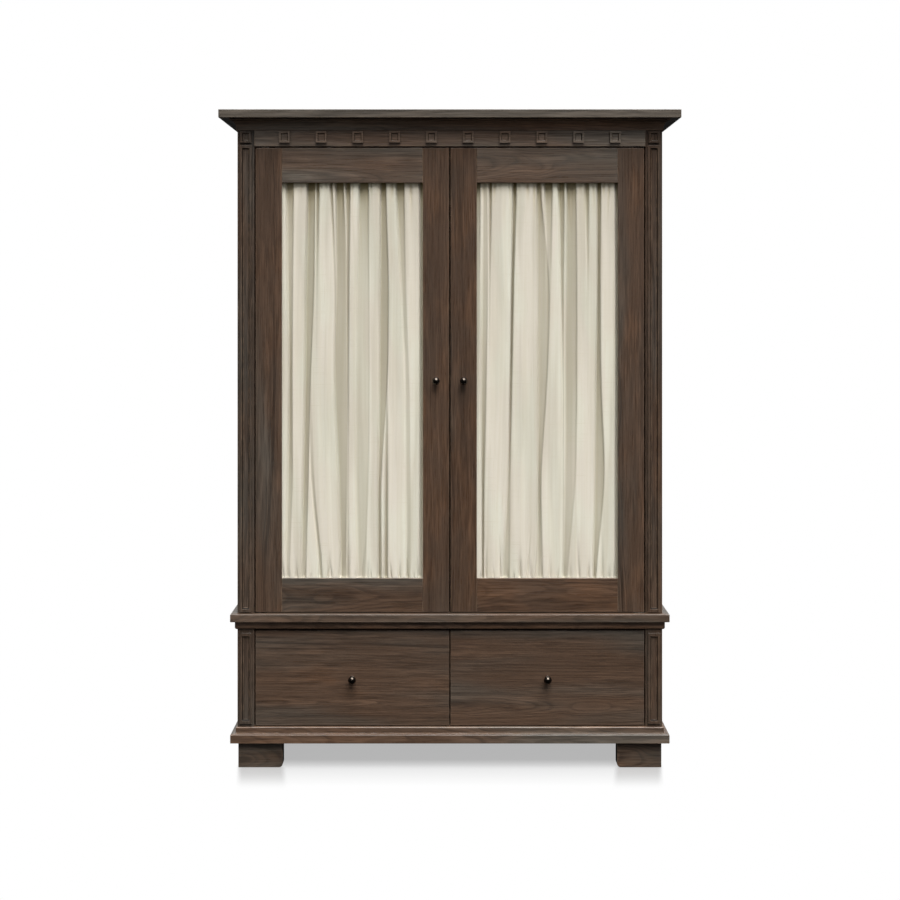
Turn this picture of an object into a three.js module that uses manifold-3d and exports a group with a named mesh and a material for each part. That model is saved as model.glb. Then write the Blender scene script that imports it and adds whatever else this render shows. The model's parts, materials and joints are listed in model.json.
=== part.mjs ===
// Armoire in stained oak: a wardrobe case with two curtained doors stands on a case with two drawers.
// Millimetres, +Z up. The front faces -Y, and "left" and "right" are as seen from the front.
// The origin is at floor level, in the middle of the width and depth of the whole piece.
import * as THREE from "three";
import { mergeVertices } from "three/addons/utils/BufferGeometryUtils.js";
import Module from "manifold-3d";

const wasm = await Module();
wasm.setup();

// ---------------------------------------------------------------- driving dimensions

const seat = 0.3; // left at every face that is glued, housed or rests on another

// The case, over its corner posts
const caseWidth = 1166;
const caseDepth = 555;
const postSize = 46; // corner posts are square

// Base
const footHeight = 71;
const footLength = 121.5; // each wing of the bracket foot
const footThickness = 40;
const footInset = 2; // behind the faces of the case
const footToe = 10; // radius at the inner lower corner of each wing
const plinth = { height: 24.5, overhang: 17.8, round: 3.5 };
const plinthCap = { height: 17, overhang: 4.5, round: 3.5 };
const plinthHollow = { depth: 22, rim: 60 }; // recess in the underside, and the rim left round it

// Drawer case, and the two boards between it and the wardrobe
const lowerHeight = 268;
const waistMoulding = { height: 22, overhang: 6.5, round: 6 };
const waistBoard = { height: 21.5, overhang: 18, round: 2.5 };
const lowerSide = { thickness: 20, border: 52, sink: 4, slope: 6 };
const drawerGuide = { height: 40, proud: 6.5 }; // stands this far inside the post's inner face
const divider = { thickness: 18, behindFronts: 1 };

// Wardrobe case
const upperHeight = 1355.5;
const topBoard = { height: 22.5, overhang: 46, round: 2 };
const cove = { height: 30, reach: 20.5, foot: 3, fillet: 4 };
const frieze = { face: 44, thickness: 22 }; // face: seen between the cove and the doors
const friezeTenon = { length: 14, fromFace: 7, thickness: 9, shoulder: 12 };
const doorStop = { drop: 14, thickness: 12, batten: 17, fromPost: 60, clearance: 1 };
const sideReveal = 3; // side rails and lower sides lie this far inside the posts' faces
const sideRail = { thickness: 22, top: 132, bottom: 92 };
const sideTenon = { length: 16, thickness: 8, shoulder: 14 };
const sidePanel = { thickness: 8, groove: 10 };
const backPanel = { thickness: 8, recess: 4, groove: 7 };

// Ornament on the posts and the frieze
const dentil = { width: 30, height: 32, proud: 8, field: 19, sink: 4.5, slope: 1.5, border: 5.5 };
const dentilRow = { count: 10, pitch: 100.8, above: 9 }; // above the lower edge of the frieze
const flute = { width: 33, proud: 5, field: 22, sink: 4.5, slope: 4, border: 8 };
const fluteEnds = { upperFoot: 3, upperHead: -3, lowerFoot: 8.5, lowerHead: 11 };

// Doors
const frontInset = 3; // doors and drawer fronts lie this far behind the posts' faces
const doorGap = { side: 3.2, middle: 4, top: 4, bottom: 2.5 };
const door = { thickness: 24, stile: 72, topRail: 95.5, bottomRail: 92.5 };
const doorTenon = { length: 45, thickness: 8, shoulder: 12, fromRebate: 2 };
const rebate = { lip: 10, stile: 12, rail: 24 }; // lip: the wood left in front of the curtain
const pivot = { fromEdge: 14, fromFace: 7, radius: 3.5, reach: 14, collar: 6.5, clearance: 0.3 };
const pivotLeaf = { length: 32, width: 14, thickness: 3 };
const doorKnobHeight = 635;

// Curtains on their rods, in the rebates of the door frames
const rod = { radius: 3.5, beyond: 13, seated: 8, cover: 1.2 }; // beyond the sight line; wood behind the bore
const curtain = { front: 0.7, thickness: 17, overlap: 11, header: 9, pocketClearance: 0.4 };

// Knobs
const knob = { ball: 11, neck: 4.5, flange: 8, flangeHeight: 1.8, reach: 28 };
const knobStud = { radius: 2.5, length: 14, clearance: 0.3 };

// Fittings inside the wardrobe
const shelf = { thickness: 18, belowTop: 218, front: 8 }; // front: behind the back of the posts
const bearer = { height: 70, inset: 4 }; // carries the shelf and the hanging rail
const hangingRail = { radius: 12.5, wall: 1.5, drop: 45 };
const railSocket = { depth: 15, wall: 3, plate: 3, plateSize: 46 };
const doorCatch = { width: 64, height: 11, depth: 18, clearance: 0.6 };

// Drawers
const drawerGap = { bottom: 2.5, top: 5, floor: 0.5, side: 1.5, back: 32 };
const drawer = { frontThickness: 22, sideThickness: 12, sideDrop: 26 }; // below the front's top
const drawerBack = { thickness: 12, drop: 6 }; // below the sides' top
const drawerKnobDrop = 2; // below the middle of the front
const drawerBottom = { thickness: 6, groove: 6, above: 12 };
const dovetail = { lip: 7, front: 4, back: 3, share: 0.6, flare: 2.4 };

// ---------------------------------------------------------------- places that follow from them

const halfWidth = caseWidth / 2;
const faceY = (topBoard.overhang - caseDepth) / 2; // front face of the posts
const wallY = faceY + caseDepth;
const openingHalf = halfWidth - postSize; // half of the clear width between the posts
const postBackY = faceY + postSize;
const rearPostY = wallY - postSize;
const sideFace = halfWidth - sideReveal;
const panelX = [sideFace - (sideRail.thickness + sidePanel.thickness) / 2, 0];
panelX[1] = panelX[0] + sidePanel.thickness;
const lowerInner = sideFace - lowerSide.thickness;
const backY = [wallY - backPanel.recess - backPanel.thickness, wallY - backPanel.recess];

const lowerZ = footHeight + plinth.height + plinthCap.height;
const waistZ = lowerZ + lowerHeight;
const waistBoardZ = waistZ + waistMoulding.height;
const upperZ = waistBoardZ + waistBoard.height;
const topZ = upperZ + upperHeight;
const friezeZ = upperHeight - cove.height - frieze.face; // heights in the upper case count from its own foot

const doorWidth = openingHalf - doorGap.side - doorGap.middle / 2;
const doorHeight = friezeZ - doorGap.top - doorGap.bottom;
const doorFace = -pivot.fromFace; // a door's own origin lies on its pivot axis
const doorBack = doorFace + door.thickness;
const pivotX = openingHalf - doorGap.side - pivot.fromEdge;
const pivotY = faceY + frontInset + pivot.fromFace;
const doorBackY = pivotY + doorBack;
const shelfZ = upperHeight - shelf.belowTop - shelf.thickness;

const drawerCentre = (doorGap.middle + doorWidth) / 2;
const drawerHeight = lowerHeight - drawerGap.bottom - drawerGap.top;
const drawerLength = backY[0] - faceY - frontInset - drawerGap.back;
const guideX = openingHalf - drawerGuide.proud;
const boxX = [divider.thickness / 2 + drawerGap.side, guideX - drawerGap.side].map(
  (x) => x - drawerCentre,
); // inner and outer face of a drawer's box, counted outwards from its own middle

// ---------------------------------------------------------------- materials

const finishes = {
  oak: { color: 0x4b3d34, roughness: 0.62, metalness: 0 },
  drawerWood: { color: 0x7a6450, roughness: 0.7, metalness: 0 },
  linen: { color: 0xd8d0bd, roughness: 0.95, metalness: 0 },
  bronze: { color: 0x2c2521, roughness: 0.35, metalness: 0.9 },
  steel: { color: 0x9a9792, roughness: 0.3, metalness: 1 },
};

// ---------------------------------------------------------------- building blocks

// A closed three.js geometry as a solid that can be joined and cut. Its corners are rounded to a
// fine binary grid, so that faces meant to be flush are exactly flush.
const gridPerMillimetre = 1024;
function solid(geometry) {
  geometry.deleteAttribute("normal");
  geometry.deleteAttribute("uv");
  const merged = mergeVertices(geometry, 1e-4);
  const onGrid = (value) => Math.round(value * gridPerMillimetre) / gridPerMillimetre;
  return new wasm.Manifold(
    new wasm.Mesh({
      numProp: 3,
      vertProperties: merged.attributes.position.array.map(onGrid),
      triVerts: new Uint32Array(merged.index.array),
    }),
  );
}

// A solid as a named mesh in one of the finishes.
function piece(name, body, finish) {
  const { vertProperties, triVerts } = body.getMesh();
  const geometry = new THREE.BufferGeometry();
  geometry.setAttribute("position", new THREE.BufferAttribute(vertProperties, 3));
  geometry.setIndex(new THREE.BufferAttribute(triVerts, 1));
  geometry.computeVertexNormals();
  const material = new THREE.MeshStandardMaterial({ ...finishes[finish], flatShading: true });
  const mesh = new THREE.Mesh(geometry, material);
  mesh.name = name;
  return mesh;
}

function groupAt(x, y, z, members) {
  const group = new THREE.Group();
  group.position.set(x, y, z);
  group.add(...members);
  return group;
}

const sideName = (side) => (side < 0 ? "left" : "right");
const bothSides = (make) => [-1, 1].flatMap(make);

// The stretch a..b counted outwards from the middle, on the left (-1) or right (1).
const outwards = (side, a, b) => (side > 0 ? [a, b] : [-b, -a]);
const grown = ([a, b], by) => [a - by, b + by];

function block([x0, x1], [y0, y1], [z0, z1]) {
  const geometry = new THREE.BoxGeometry(x1 - x0, y1 - y0, z1 - z0);
  geometry.translate((x0 + x1) / 2, (y0 + y1) / 2, (z0 + z1) / 2);
  return solid(geometry);
}

// An outline in (y, z) swept along x, and an outline in (x, z) swept along y.
function sweepAlongX(points, [x0, x1]) {
  const options = { depth: x1 - x0, bevelEnabled: false };
  const geometry = new THREE.ExtrudeGeometry(new THREE.Shape(points), options);
  geometry.rotateX(Math.PI / 2);
  geometry.rotateZ(Math.PI / 2);
  geometry.translate(x0, 0, 0);
  return solid(geometry);
}

function sweepAlongY(points, [y0, y1]) {
  const options = { depth: y1 - y0, bevelEnabled: false };
  const geometry = new THREE.ExtrudeGeometry(new THREE.Shape(points), options);
  geometry.rotateX(Math.PI / 2);
  geometry.translate(0, y1, 0);
  return solid(geometry);
}

// A round bar along x, y or z. `at` gives its centre line's other two coordinates, in that order.
function bar(along, radius, [from, to], at, sides = 24) {
  const geometry = new THREE.CylinderGeometry(radius, radius, to - from, sides);
  const middle = (from + to) / 2;
  if (along === "x") {
    geometry.rotateZ(Math.PI / 2).translate(middle, at[0], at[1]);
  } else if (along === "y") {
    geometry.translate(at[0], middle, at[1]);
  } else {
    geometry.rotateX(Math.PI / 2).translate(at[0], at[1], middle);
  }
  return solid(geometry);
}

// A board or band whose moulded edge runs round the front and both sides of the case with mitred
// corners, and which is flush with the wall. The profile's points are (overhang, height), upwards.
function moulded(profile) {
  const points = profile.getPoints(4);
  const [low, high] = [points[0].y, points[points.length - 1].y];
  const front = points.map((p) => new THREE.Vector2(faceY - p.x, p.y));
  front.push(new THREE.Vector2(wallY, high), new THREE.Vector2(wallY, low));
  const right = points.map((p) => new THREE.Vector2(halfWidth + p.x, p.y));
  const left = points.map((p) => new THREE.Vector2(-halfWidth - p.x, p.y)).reverse();
  return sweepAlongX(front, [-caseWidth, caseWidth]).intersect(
    sweepAlongY([...right, ...left], [faceY - caseDepth, wallY]),
  );
}

// Adds an edge with a rounded upper corner to a profile, from `low` to `high`.
function roundedEdge(profile, overhang, low, high, round) {
  profile.lineTo(overhang, low);
  profile.lineTo(overhang, high - round);
  profile.absarc(overhang - round, high - round, round, 0, Math.PI / 2, false);
  return profile;
}

const edgeProfile = ({ overhang, height, round }) =>
  roundedEdge(new THREE.Path([new THREE.Vector2(overhang, 0)]), overhang, round, height, round);

// An edge with a rounded lower corner.
function undercutProfile({ overhang, height, round }) {
  const profile = new THREE.Path([new THREE.Vector2(0, 0)]);
  profile.lineTo(overhang - round, 0);
  profile.absarc(overhang - round, round, round, -Math.PI / 2, 0, false);
  profile.lineTo(overhang, height);
  return profile;
}

// The cutter of a sunk field whose four walls slope inwards. The face lies at `face` along x or y
// and looks to its negative or positive side (`look`); `across` and `up` are the field's edges.
function sunkField(along, look, face, across, up, { sink, slope }) {
  const over = 1; // the cutter stands this far out of the face
  const flare = (slope * over) / sink;
  const geometry = new THREE.BoxGeometry(1, 1, 1);
  const corner = geometry.attributes.position;
  for (let i = 0; i < corner.count; i += 1) {
    const deep = look * (along === "x" ? corner.getX(i) : corner.getY(i)) < 0;
    const acrossHigh = (along === "x" ? corner.getY(i) : corner.getX(i)) > 0;
    const inset = deep ? slope : -flare;
    const place = face - look * (deep ? sink : -over);
    const a = acrossHigh ? across[1] - inset : across[0] + inset;
    const z = corner.getZ(i) > 0 ? up[1] - inset : up[0] + inset;
    corner.setXYZ(i, along === "x" ? place : a, along === "x" ? a : place, z);
  }
  return solid(geometry);
}

// A raised pad with a sunk field, on the front of a post or of the frieze.
function sunkPad(centreX, [z0, z1], form) {
  const face = faceY - form.proud;
  const pad = block(grown([centreX, centreX], form.width / 2), [face, faceY + 1], [z0, z1]);
  const across = grown([centreX, centreX], form.field / 2);
  return pad.subtract(sunkField("y", -1, face, across, [z0 + form.border, z1 - form.border], form));
}

// ---------------------------------------------------------------- base

function baseBoard() {
  const capTop = plinth.height + plinthCap.height;
  const edge = edgeProfile(plinth);
  roundedEdge(edge, plinthCap.overhang, plinth.height, capTop, plinthCap.round);
  const hollow = block(
    grown([0, 0], halfWidth - plinthHollow.rim),
    [faceY + plinthHollow.rim, wallY - plinthHollow.rim],
    [-1, plinthHollow.depth],
  );
  return piece("base_board", moulded(edge).subtract(hollow), "oak");
}

// A bracket foot: two wings meet at the corner of the case.
function foot(side, end) {
  const outerX = side * (halfWidth - footInset);
  const inY = end === "front" ? 1 : -1;
  const outerY = end === "front" ? faceY + footInset : wallY - footInset;
  const height = footHeight - seat;
  const wing = new THREE.Path([new THREE.Vector2(0, 0)]);
  wing.lineTo(footLength - footToe, 0);
  wing.absarc(footLength - footToe, footToe, footToe, -Math.PI / 2, 0, false);
  wing.lineTo(footLength, height);
  wing.lineTo(0, height);
  const outline = wing.getPoints(5);
  const alongX = outline.map((p) => new THREE.Vector2(outerX - side * p.x, p.y));
  const alongY = outline.map((p) => new THREE.Vector2(outerY + inY * p.x, p.y));
  const inwards = (from, step) => [from, from + step * footThickness].sort((a, b) => a - b);
  const body = sweepAlongY(alongX, inwards(outerY, inY)).add(
    sweepAlongX(alongY, inwards(outerX, -side)),
  );
  return piece(`foot_${end}_${sideName(side)}`, body, "oak");
}

function base() {
  const board = baseBoard();
  board.position.z = footHeight;
  const feet = ["front", "rear"].flatMap((end) => bothSides((side) => foot(side, end)));
  return groupAt(0, 0, 0, [board, ...feet]);
}

// ---------------------------------------------------------------- drawer case

const lowerSpan = [seat, lowerHeight - seat];

function lowerPost(side) {
  const body = block(outwards(side, openingHalf, halfWidth), [faceY, postBackY], lowerSpan);
  const fluteZ = [fluteEnds.lowerFoot, lowerHeight - fluteEnds.lowerHead];
  const pad = sunkPad(side * (halfWidth - postSize / 2), fluteZ, flute);
  return piece(`lower_post_${sideName(side)}`, body.add(pad), "oak");
}

// The side board carries the guide that keeps the drawer clear of the post.
function lowerSideBoard(side) {
  const spanY = [postBackY + seat, wallY];
  const board = block(outwards(side, lowerInner, sideFace), spanY, lowerSpan);
  const guide = block(
    outwards(side, guideX, lowerInner + 1),
    [spanY[0], backY[0] - seat],
    [seat, drawerGuide.height],
  );
  const backGroove = block(
    outwards(side, lowerInner - 1, lowerInner + backPanel.groove + seat),
    grown(backY, seat),
    [0, lowerHeight],
  );
  const field = sunkField(
    "x",
    side,
    side * sideFace,
    grown(spanY, -lowerSide.border),
    grown(lowerSpan, -lowerSide.border),
    lowerSide,
  );
  const body = board.add(guide).subtract(backGroove).subtract(field);
  return piece(`lower_side_${sideName(side)}`, body, "oak");
}

function backBoard(name, reach, height) {
  return piece(name, block([-reach, reach], backY, [seat, height - seat]), "oak");
}

function lowerCase() {
  const frontsBackY = faceY + frontInset + drawer.frontThickness;
  const dividerBody = block(
    grown([0, 0], divider.thickness / 2),
    [frontsBackY + divider.behindFronts, backY[0] - seat],
    lowerSpan,
  );
  return groupAt(0, 0, lowerZ, [
    ...bothSides(lowerPost),
    ...bothSides(lowerSideBoard),
    backBoard("lower_back", lowerInner + backPanel.groove, lowerHeight),
    piece("drawer_divider", dividerBody, "oak"),
  ]);
}

// ---------------------------------------------------------------- boards at the waist and the top

// The recess or leaf of a pivot, let into the board below or the rail above the door.
const leafX = (side) =>
  outwards(side, openingHalf - seat - pivotLeaf.length, openingHalf - seat);
const leafY = grown([pivotY, pivotY], pivotLeaf.width / 2);

function waist() {
  const moulding = piece("waist_moulding", moulded(undercutProfile(waistMoulding)), "oak");
  moulding.position.z = waistZ;
  const recesses = bothSides((side) =>
    block(grown(leafX(side), seat), grown(leafY, seat), [
      waistBoard.height - pivotLeaf.thickness - seat,
      waistBoard.height + 1,
    ]),
  );
  const body = recesses.reduce((rest, cut) => rest.subtract(cut), moulded(edgeProfile(waistBoard)));
  const board = piece("waist_board", body, "oak");
  board.position.z = waistBoardZ;
  return [moulding, board];
}

function cornice() {
  const profile = new THREE.Path([new THREE.Vector2(cove.foot, 0)]);
  profile.lineTo(cove.foot, cove.fillet);
  const hollow = [cove.reach - cove.foot - seat, cove.height - 2 * cove.fillet];
  profile.absellipse(cove.foot + hollow[0], cove.fillet, ...hollow, Math.PI, Math.PI / 2, true);
  profile.lineTo(cove.reach, cove.height - cove.fillet);
  profile.lineTo(cove.reach, cove.height - seat);
  const inside = block(
    grown([0, 0], halfWidth + seat),
    [faceY - seat, wallY + 1],
    [-1, cove.height + 1],
  );
  const body = piece("cornice_moulding", moulded(profile).subtract(inside), "oak");
  body.position.z = topZ - cove.height;
  return body;
}

function top() {
  const board = piece("top_board", moulded(edgeProfile(topBoard)), "oak");
  board.position.z = topZ;
  return [cornice(), board];
}

// ---------------------------------------------------------------- wardrobe case

const upperSpan = [seat, upperHeight - seat];
const friezeSpan = [friezeZ, upperHeight - seat];
const railSpans = [
  [seat, sideRail.bottom],
  [upperHeight - sideRail.top, upperHeight - seat],
];
const panelSpan = [railSpans[0][1] - sidePanel.groove, railSpans[1][0] + sidePanel.groove];
const panelY = [postBackY - sidePanel.groove, rearPostY + sidePanel.groove];
const sideTenonX = grown([panelX[0], panelX[1]], (sideTenon.thickness - sidePanel.thickness) / 2);
const friezeTenonY = [faceY + friezeTenon.fromFace, faceY + friezeTenon.fromFace + friezeTenon.thickness];
const dentilSpan = [friezeZ + dentilRow.above, friezeZ + dentilRow.above + dentil.height];

function upperPost(side) {
  const centreX = side * (halfWidth - postSize / 2);
  const fluteZ = [fluteEnds.upperFoot, friezeZ - fluteEnds.upperHead];
  const panelGroove = block(
    outwards(side, panelX[0] - seat, panelX[1] + seat),
    [panelY[0] - seat, postBackY + 1],
    grown(panelSpan, seat),
  );
  const friezeMortise = block(
    outwards(side, openingHalf - 1, openingHalf + friezeTenon.length + seat),
    grown(friezeTenonY, seat),
    grown(friezeSpan, seat - friezeTenon.shoulder),
  );
  const railMortises = railSpans.map((span) =>
    block(
      outwards(side, sideTenonX[0] - seat, sideTenonX[1] + seat),
      [postBackY - sideTenon.length - seat, postBackY + 1],
      grown(span, seat - sideTenon.shoulder),
    ),
  );
  const body = block(outwards(side, openingHalf, halfWidth), [faceY, postBackY], upperSpan)
    .add(sunkPad(centreX, fluteZ, flute))
    .add(sunkPad(centreX, dentilSpan, dentil));
  const cut = [panelGroove, friezeMortise, ...railMortises].reduce((rest, c) => rest.subtract(c), body);
  return piece(`upper_post_${sideName(side)}`, cut, "oak");
}

// The rear post with the two side rails and the bearer of the shelf, as they are glued up.
function sideFrame(side) {
  const spanY = [postBackY + seat, rearPostY + 1];
  const post = block(outwards(side, openingHalf, halfWidth), [rearPostY, wallY], upperSpan);
  const rails = railSpans.flatMap((span) => [
    block(outwards(side, sideFace - sideRail.thickness, sideFace), spanY, span),
    block(
      outwards(side, ...sideTenonX),
      [postBackY - sideTenon.length, postBackY + 1],
      grown(span, -sideTenon.shoulder),
    ),
  ]);
  const bearerZ = [shelfZ - seat - bearer.height, shelfZ - seat];
  const shelfBearer = block(outwards(side, openingHalf + bearer.inset, panelX[0] - seat), spanY, bearerZ);
  const panelGroove = block(
    outwards(side, panelX[0] - seat, panelX[1] + seat),
    grown([postBackY - sideTenon.length, panelY[1]], seat),
    grown(panelSpan, seat),
  );
  const backGroove = block(
    outwards(side, openingHalf - 1, openingHalf + backPanel.groove + seat),
    grown(backY, seat),
    [0, upperHeight],
  );
  const body = [...rails, shelfBearer].reduce((rest, part) => rest.add(part), post);
  const cut = body.subtract(panelGroove).subtract(backGroove);
  return piece(`side_frame_${sideName(side)}`, cut, "oak");
}

function sidePanelBoard(side) {
  return piece(`side_panel_${sideName(side)}`, block(outwards(side, ...panelX), panelY, panelSpan), "oak");
}

// The frieze rail carries the row of dentils, and the stop that the doors close against.
function friezeRail() {
  const reach = openingHalf - seat;
  let body = block([-reach, reach], [faceY, faceY + frieze.thickness], friezeSpan);
  const tenonReach = openingHalf + friezeTenon.length;
  const tenonZ = grown(friezeSpan, -friezeTenon.shoulder);
  body = body.add(block([-tenonReach, tenonReach], friezeTenonY, tenonZ));
  for (let i = 0; i < dentilRow.count; i += 1) {
    const centreX = (i - (dentilRow.count - 1) / 2) * dentilRow.pitch;
    body = body.add(sunkPad(centreX, dentilSpan, dentil));
  }
  const stopX = grown([0, 0], openingHalf - doorStop.fromPost);
  const lipY = [doorBackY + doorStop.clearance, doorBackY + doorStop.clearance + doorStop.thickness];
  const batten = block(stopX, [faceY + 1, lipY[1]], [friezeZ, friezeZ + doorStop.batten]);
  const lip = block(stopX, lipY, [friezeZ - doorStop.drop, friezeZ + 1]);
  body = body.add(batten).add(lip);
  for (const side of [-1, 1]) {
    const leafZ = [friezeZ - 1, friezeZ + pivotLeaf.thickness + seat];
    body = body.subtract(block(grown(leafX(side), seat), grown(leafY, seat), leafZ));
  }
  return piece("frieze_rail", body, "oak");
}

// A pivot hinge: a leaf let in flush, a collar that spaces the door, and a pin in the door's stile.
function pivotHinge(side, end) {
  const up = end === "bottom" ? 1 : -1;
  const face = end === "bottom" ? 0 : friezeZ;
  const gap = end === "bottom" ? doorGap.bottom : doorGap.top;
  const span = (from, to) => [face + up * from, face + up * to].sort((a, b) => a - b);
  const centre = [side * pivotX, pivotY];
  const body = block(leafX(side), leafY, span(-pivotLeaf.thickness, 0))
    .add(bar("z", pivot.collar, span(-1, gap - seat), centre))
    .add(bar("z", pivot.radius, span(0, gap + pivot.reach), centre));
  return piece(`pivot_${end}_${sideName(side)}`, body, "steel");
}

function hatShelf() {
  const reach = panelX[0] - seat;
  const spanZ = [shelfZ, shelfZ + shelf.thickness];
  const body = block([-reach, reach], [postBackY + shelf.front, backY[0] - seat], spanZ);
  const notches = bothSides((side) =>
    block(
      outwards(side, openingHalf - seat, halfWidth),
      [rearPostY - seat, wallY],
      grown(spanZ, 1),
    ),
  );
  return piece("hat_shelf", notches.reduce((rest, cut) => rest.subtract(cut), body), "oak");
}

// A steel tube across the wardrobe, held at each end by a flanged socket on the shelf bearer.
function hangingRailAndSockets() {
  const centre = [(postBackY + backY[0]) / 2, shelfZ - hangingRail.drop];
  const bearerFace = openingHalf + bearer.inset - seat;
  const reach = bearerFace - railSocket.plate - seat;
  const tube = bar("x", hangingRail.radius, [-reach, reach], centre).subtract(
    bar("x", hangingRail.radius - hangingRail.wall, [-reach - 1, reach + 1], centre),
  );
  const sockets = bothSides((side) => {
    const half = railSocket.plateSize / 2;
    const plateX = [bearerFace - railSocket.plate, bearerFace];
    const plate = block(outwards(side, ...plateX), grown([centre[0], centre[0]], half), [
      centre[1] - half,
      centre[1] + half,
    ]);
    const cupX = [plateX[0] - railSocket.depth, plateX[0] + 1];
    const boreRadius = hangingRail.radius + seat;
    const cup = bar("x", boreRadius + railSocket.wall, outwards(side, ...cupX), centre);
    const bore = bar("x", boreRadius, outwards(side, cupX[0] - 1, plateX[0]), centre);
    return piece(`rail_socket_${sideName(side)}`, plate.add(cup).subtract(bore), "steel");
  });
  return [piece("hanging_rail", tube, "steel"), ...sockets];
}

// The double catch hangs under the door stop and holds both meeting stiles.
function catchBlock() {
  const topEdge = friezeZ - doorStop.drop - seat;
  const front = doorBackY + doorCatch.clearance;
  const body = block(
    grown([0, 0], doorCatch.width / 2),
    [front, front + doorCatch.depth],
    [topEdge - doorCatch.height, topEdge],
  );
  return piece("door_catch", body, "steel");
}

function upperCase() {
  return groupAt(0, 0, upperZ, [
    ...bothSides(upperPost),
    ...bothSides(sideFrame),
    ...bothSides(sidePanelBoard),
    backBoard("upper_back", openingHalf + backPanel.groove, upperHeight),
    friezeRail(),
    hatShelf(),
    ...hangingRailAndSockets(),
    ...["bottom", "top"].flatMap((end) => bothSides((side) => pivotHinge(side, end))),
    catchBlock(),
  ]);
}

// ---------------------------------------------------------------- knobs

// A turned ball knob on its stud, which is let into the wood behind it.
function turnedKnob(name, x, y, z) {
  const centre = knob.reach - knob.ball;
  const neckTop = centre - Math.sqrt(knob.ball ** 2 - knob.neck ** 2);
  const profile = new THREE.Path([new THREE.Vector2(0, -knobStud.length)]);
  profile.lineTo(knobStud.radius, -knobStud.length);
  profile.lineTo(knobStud.radius, seat);
  profile.lineTo(knob.flange, seat);
  profile.lineTo(knob.flange, knob.flangeHeight);
  profile.quadraticCurveTo(knob.neck, knob.flangeHeight, knob.neck, neckTop);
  const start = Math.atan2(neckTop - centre, knob.neck);
  profile.absarc(0, centre, knob.ball, start, Math.PI / 2, false);
  const points = profile.getPoints(5);
  points[points.length - 1].x = 0;
  const geometry = new THREE.LatheGeometry(points, 24);
  geometry.rotateX(Math.PI);
  const body = piece(name, solid(geometry), "bronze");
  body.position.set(x, y, z);
  return body;
}

const studBore = (x, face, z) => {
  const depth = knobStud.length + knobStud.clearance;
  return bar("y", knobStud.radius + knobStud.clearance, [face - 1, face + depth], [x, z], 16);
};

// ---------------------------------------------------------------- doors

// A door's pieces are placed by their distance from its hinge edge, so both hands share one drawing.
function doorPieces(side) {
  const name = `${sideName(side)}_door`;
  const across = (a, b) => outwards(-side, a - pivot.fromEdge, b - pivot.fromEdge);
  const spanY = [doorFace, doorBack];
  const opening = [door.stile, doorWidth - door.stile];
  const sight = { bottom: door.bottomRail, top: doorHeight - door.topRail };
  const rails = { bottom: [0, sight.bottom], top: [sight.top, doorHeight] };
  const fromSight = rebate.rail + doorTenon.fromRebate;
  const tenonZ = {
    bottom: [doorTenon.shoulder, sight.bottom - fromSight],
    top: [sight.top + fromSight, doorHeight - doorTenon.shoulder],
  };
  const tenonY = grown([(doorFace + doorBack) / 2, (doorFace + doorBack) / 2], doorTenon.thickness / 2);
  const tenonReach = grown(opening, doorTenon.length);
  const rodY = doorBack - rod.cover - seat - rod.radius;
  const rodAt = {
    bottom: [rodY, sight.bottom - rod.beyond],
    top: [rodY, sight.top + rod.beyond],
  };
  const rodReach = grown(opening, rebate.stile + rod.seated);
  const ends = ["bottom", "top"];

  const rebateCut = block(
    across(...grown(opening, rebate.stile)),
    [doorFace + rebate.lip, doorBack + 1],
    [sight.bottom - rebate.rail, sight.top + rebate.rail],
  );
  const mortises = ends.map((end) =>
    block(across(...grown(tenonReach, seat)), grown(tenonY, seat), grown(tenonZ[end], seat)),
  );
  const rodHoles = ends.map((end) =>
    bar("x", rod.radius + seat, across(...grown(rodReach, seat)), rodAt[end], 16),
  );
  const pivotBores = ends.map((end) => {
    const depth = pivot.reach + seat;
    const spanZ = end === "bottom" ? [-1, depth] : [doorHeight - depth, doorHeight + 1];
    return bar("z", pivot.radius + pivot.clearance, spanZ, [0, 0]);
  });
  const knobX = across(doorWidth - door.stile / 2, doorWidth - door.stile / 2)[0];
  const knobBore = studBore(knobX, doorFace, doorKnobHeight);

  const stile = (which, [from, to], bores) => {
    const board = block(across(from, to), spanY, [0, doorHeight]);
    const cuts = [rebateCut, ...mortises, ...rodHoles, ...bores];
    return piece(`${name}_${which}_stile`, cuts.reduce((rest, cut) => rest.subtract(cut), board), "oak");
  };

  const rail = (end) => {
    const board = block(across(...grown(opening, -seat)), spanY, rails[end]);
    const tenons = block(across(...tenonReach), tenonY, tenonZ[end]);
    return piece(`${name}_${end}_rail`, board.subtract(rebateCut).add(tenons), "oak");
  };

  const curtainRod = (end) =>
    piece(`${name}_${end}_rod`, bar("x", rod.radius, across(...rodReach), rodAt[end], 12), "bronze");

  const front = doorFace + rebate.lip + curtain.front;
  const cloth = block(
    across(...grown(opening, curtain.overlap)),
    [front, front + curtain.thickness],
    [rodAt.bottom[1] - curtain.header, rodAt.top[1] + curtain.header],
  );
  const pockets = ends.map((end) =>
    bar("x", rod.radius + curtain.pocketClearance, across(...rodReach), rodAt[end], 12),
  );

  return [
    stile("hinge", [0, opening[0]], pivotBores),
    stile("meeting", [opening[1], doorWidth], [knobBore]),
    rail("top"),
    rail("bottom"),
    piece(`${name}_curtain`, pockets.reduce((rest, cut) => rest.subtract(cut), cloth), "linen"),
    curtainRod("top"),
    curtainRod("bottom"),
    turnedKnob(`${name}_knob`, knobX, doorFace, doorKnobHeight),
  ];
}

const doorGroup = (side) =>
  groupAt(side * pivotX, pivotY, upperZ + doorGap.bottom, doorPieces(side));

// ---------------------------------------------------------------- drawers

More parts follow.
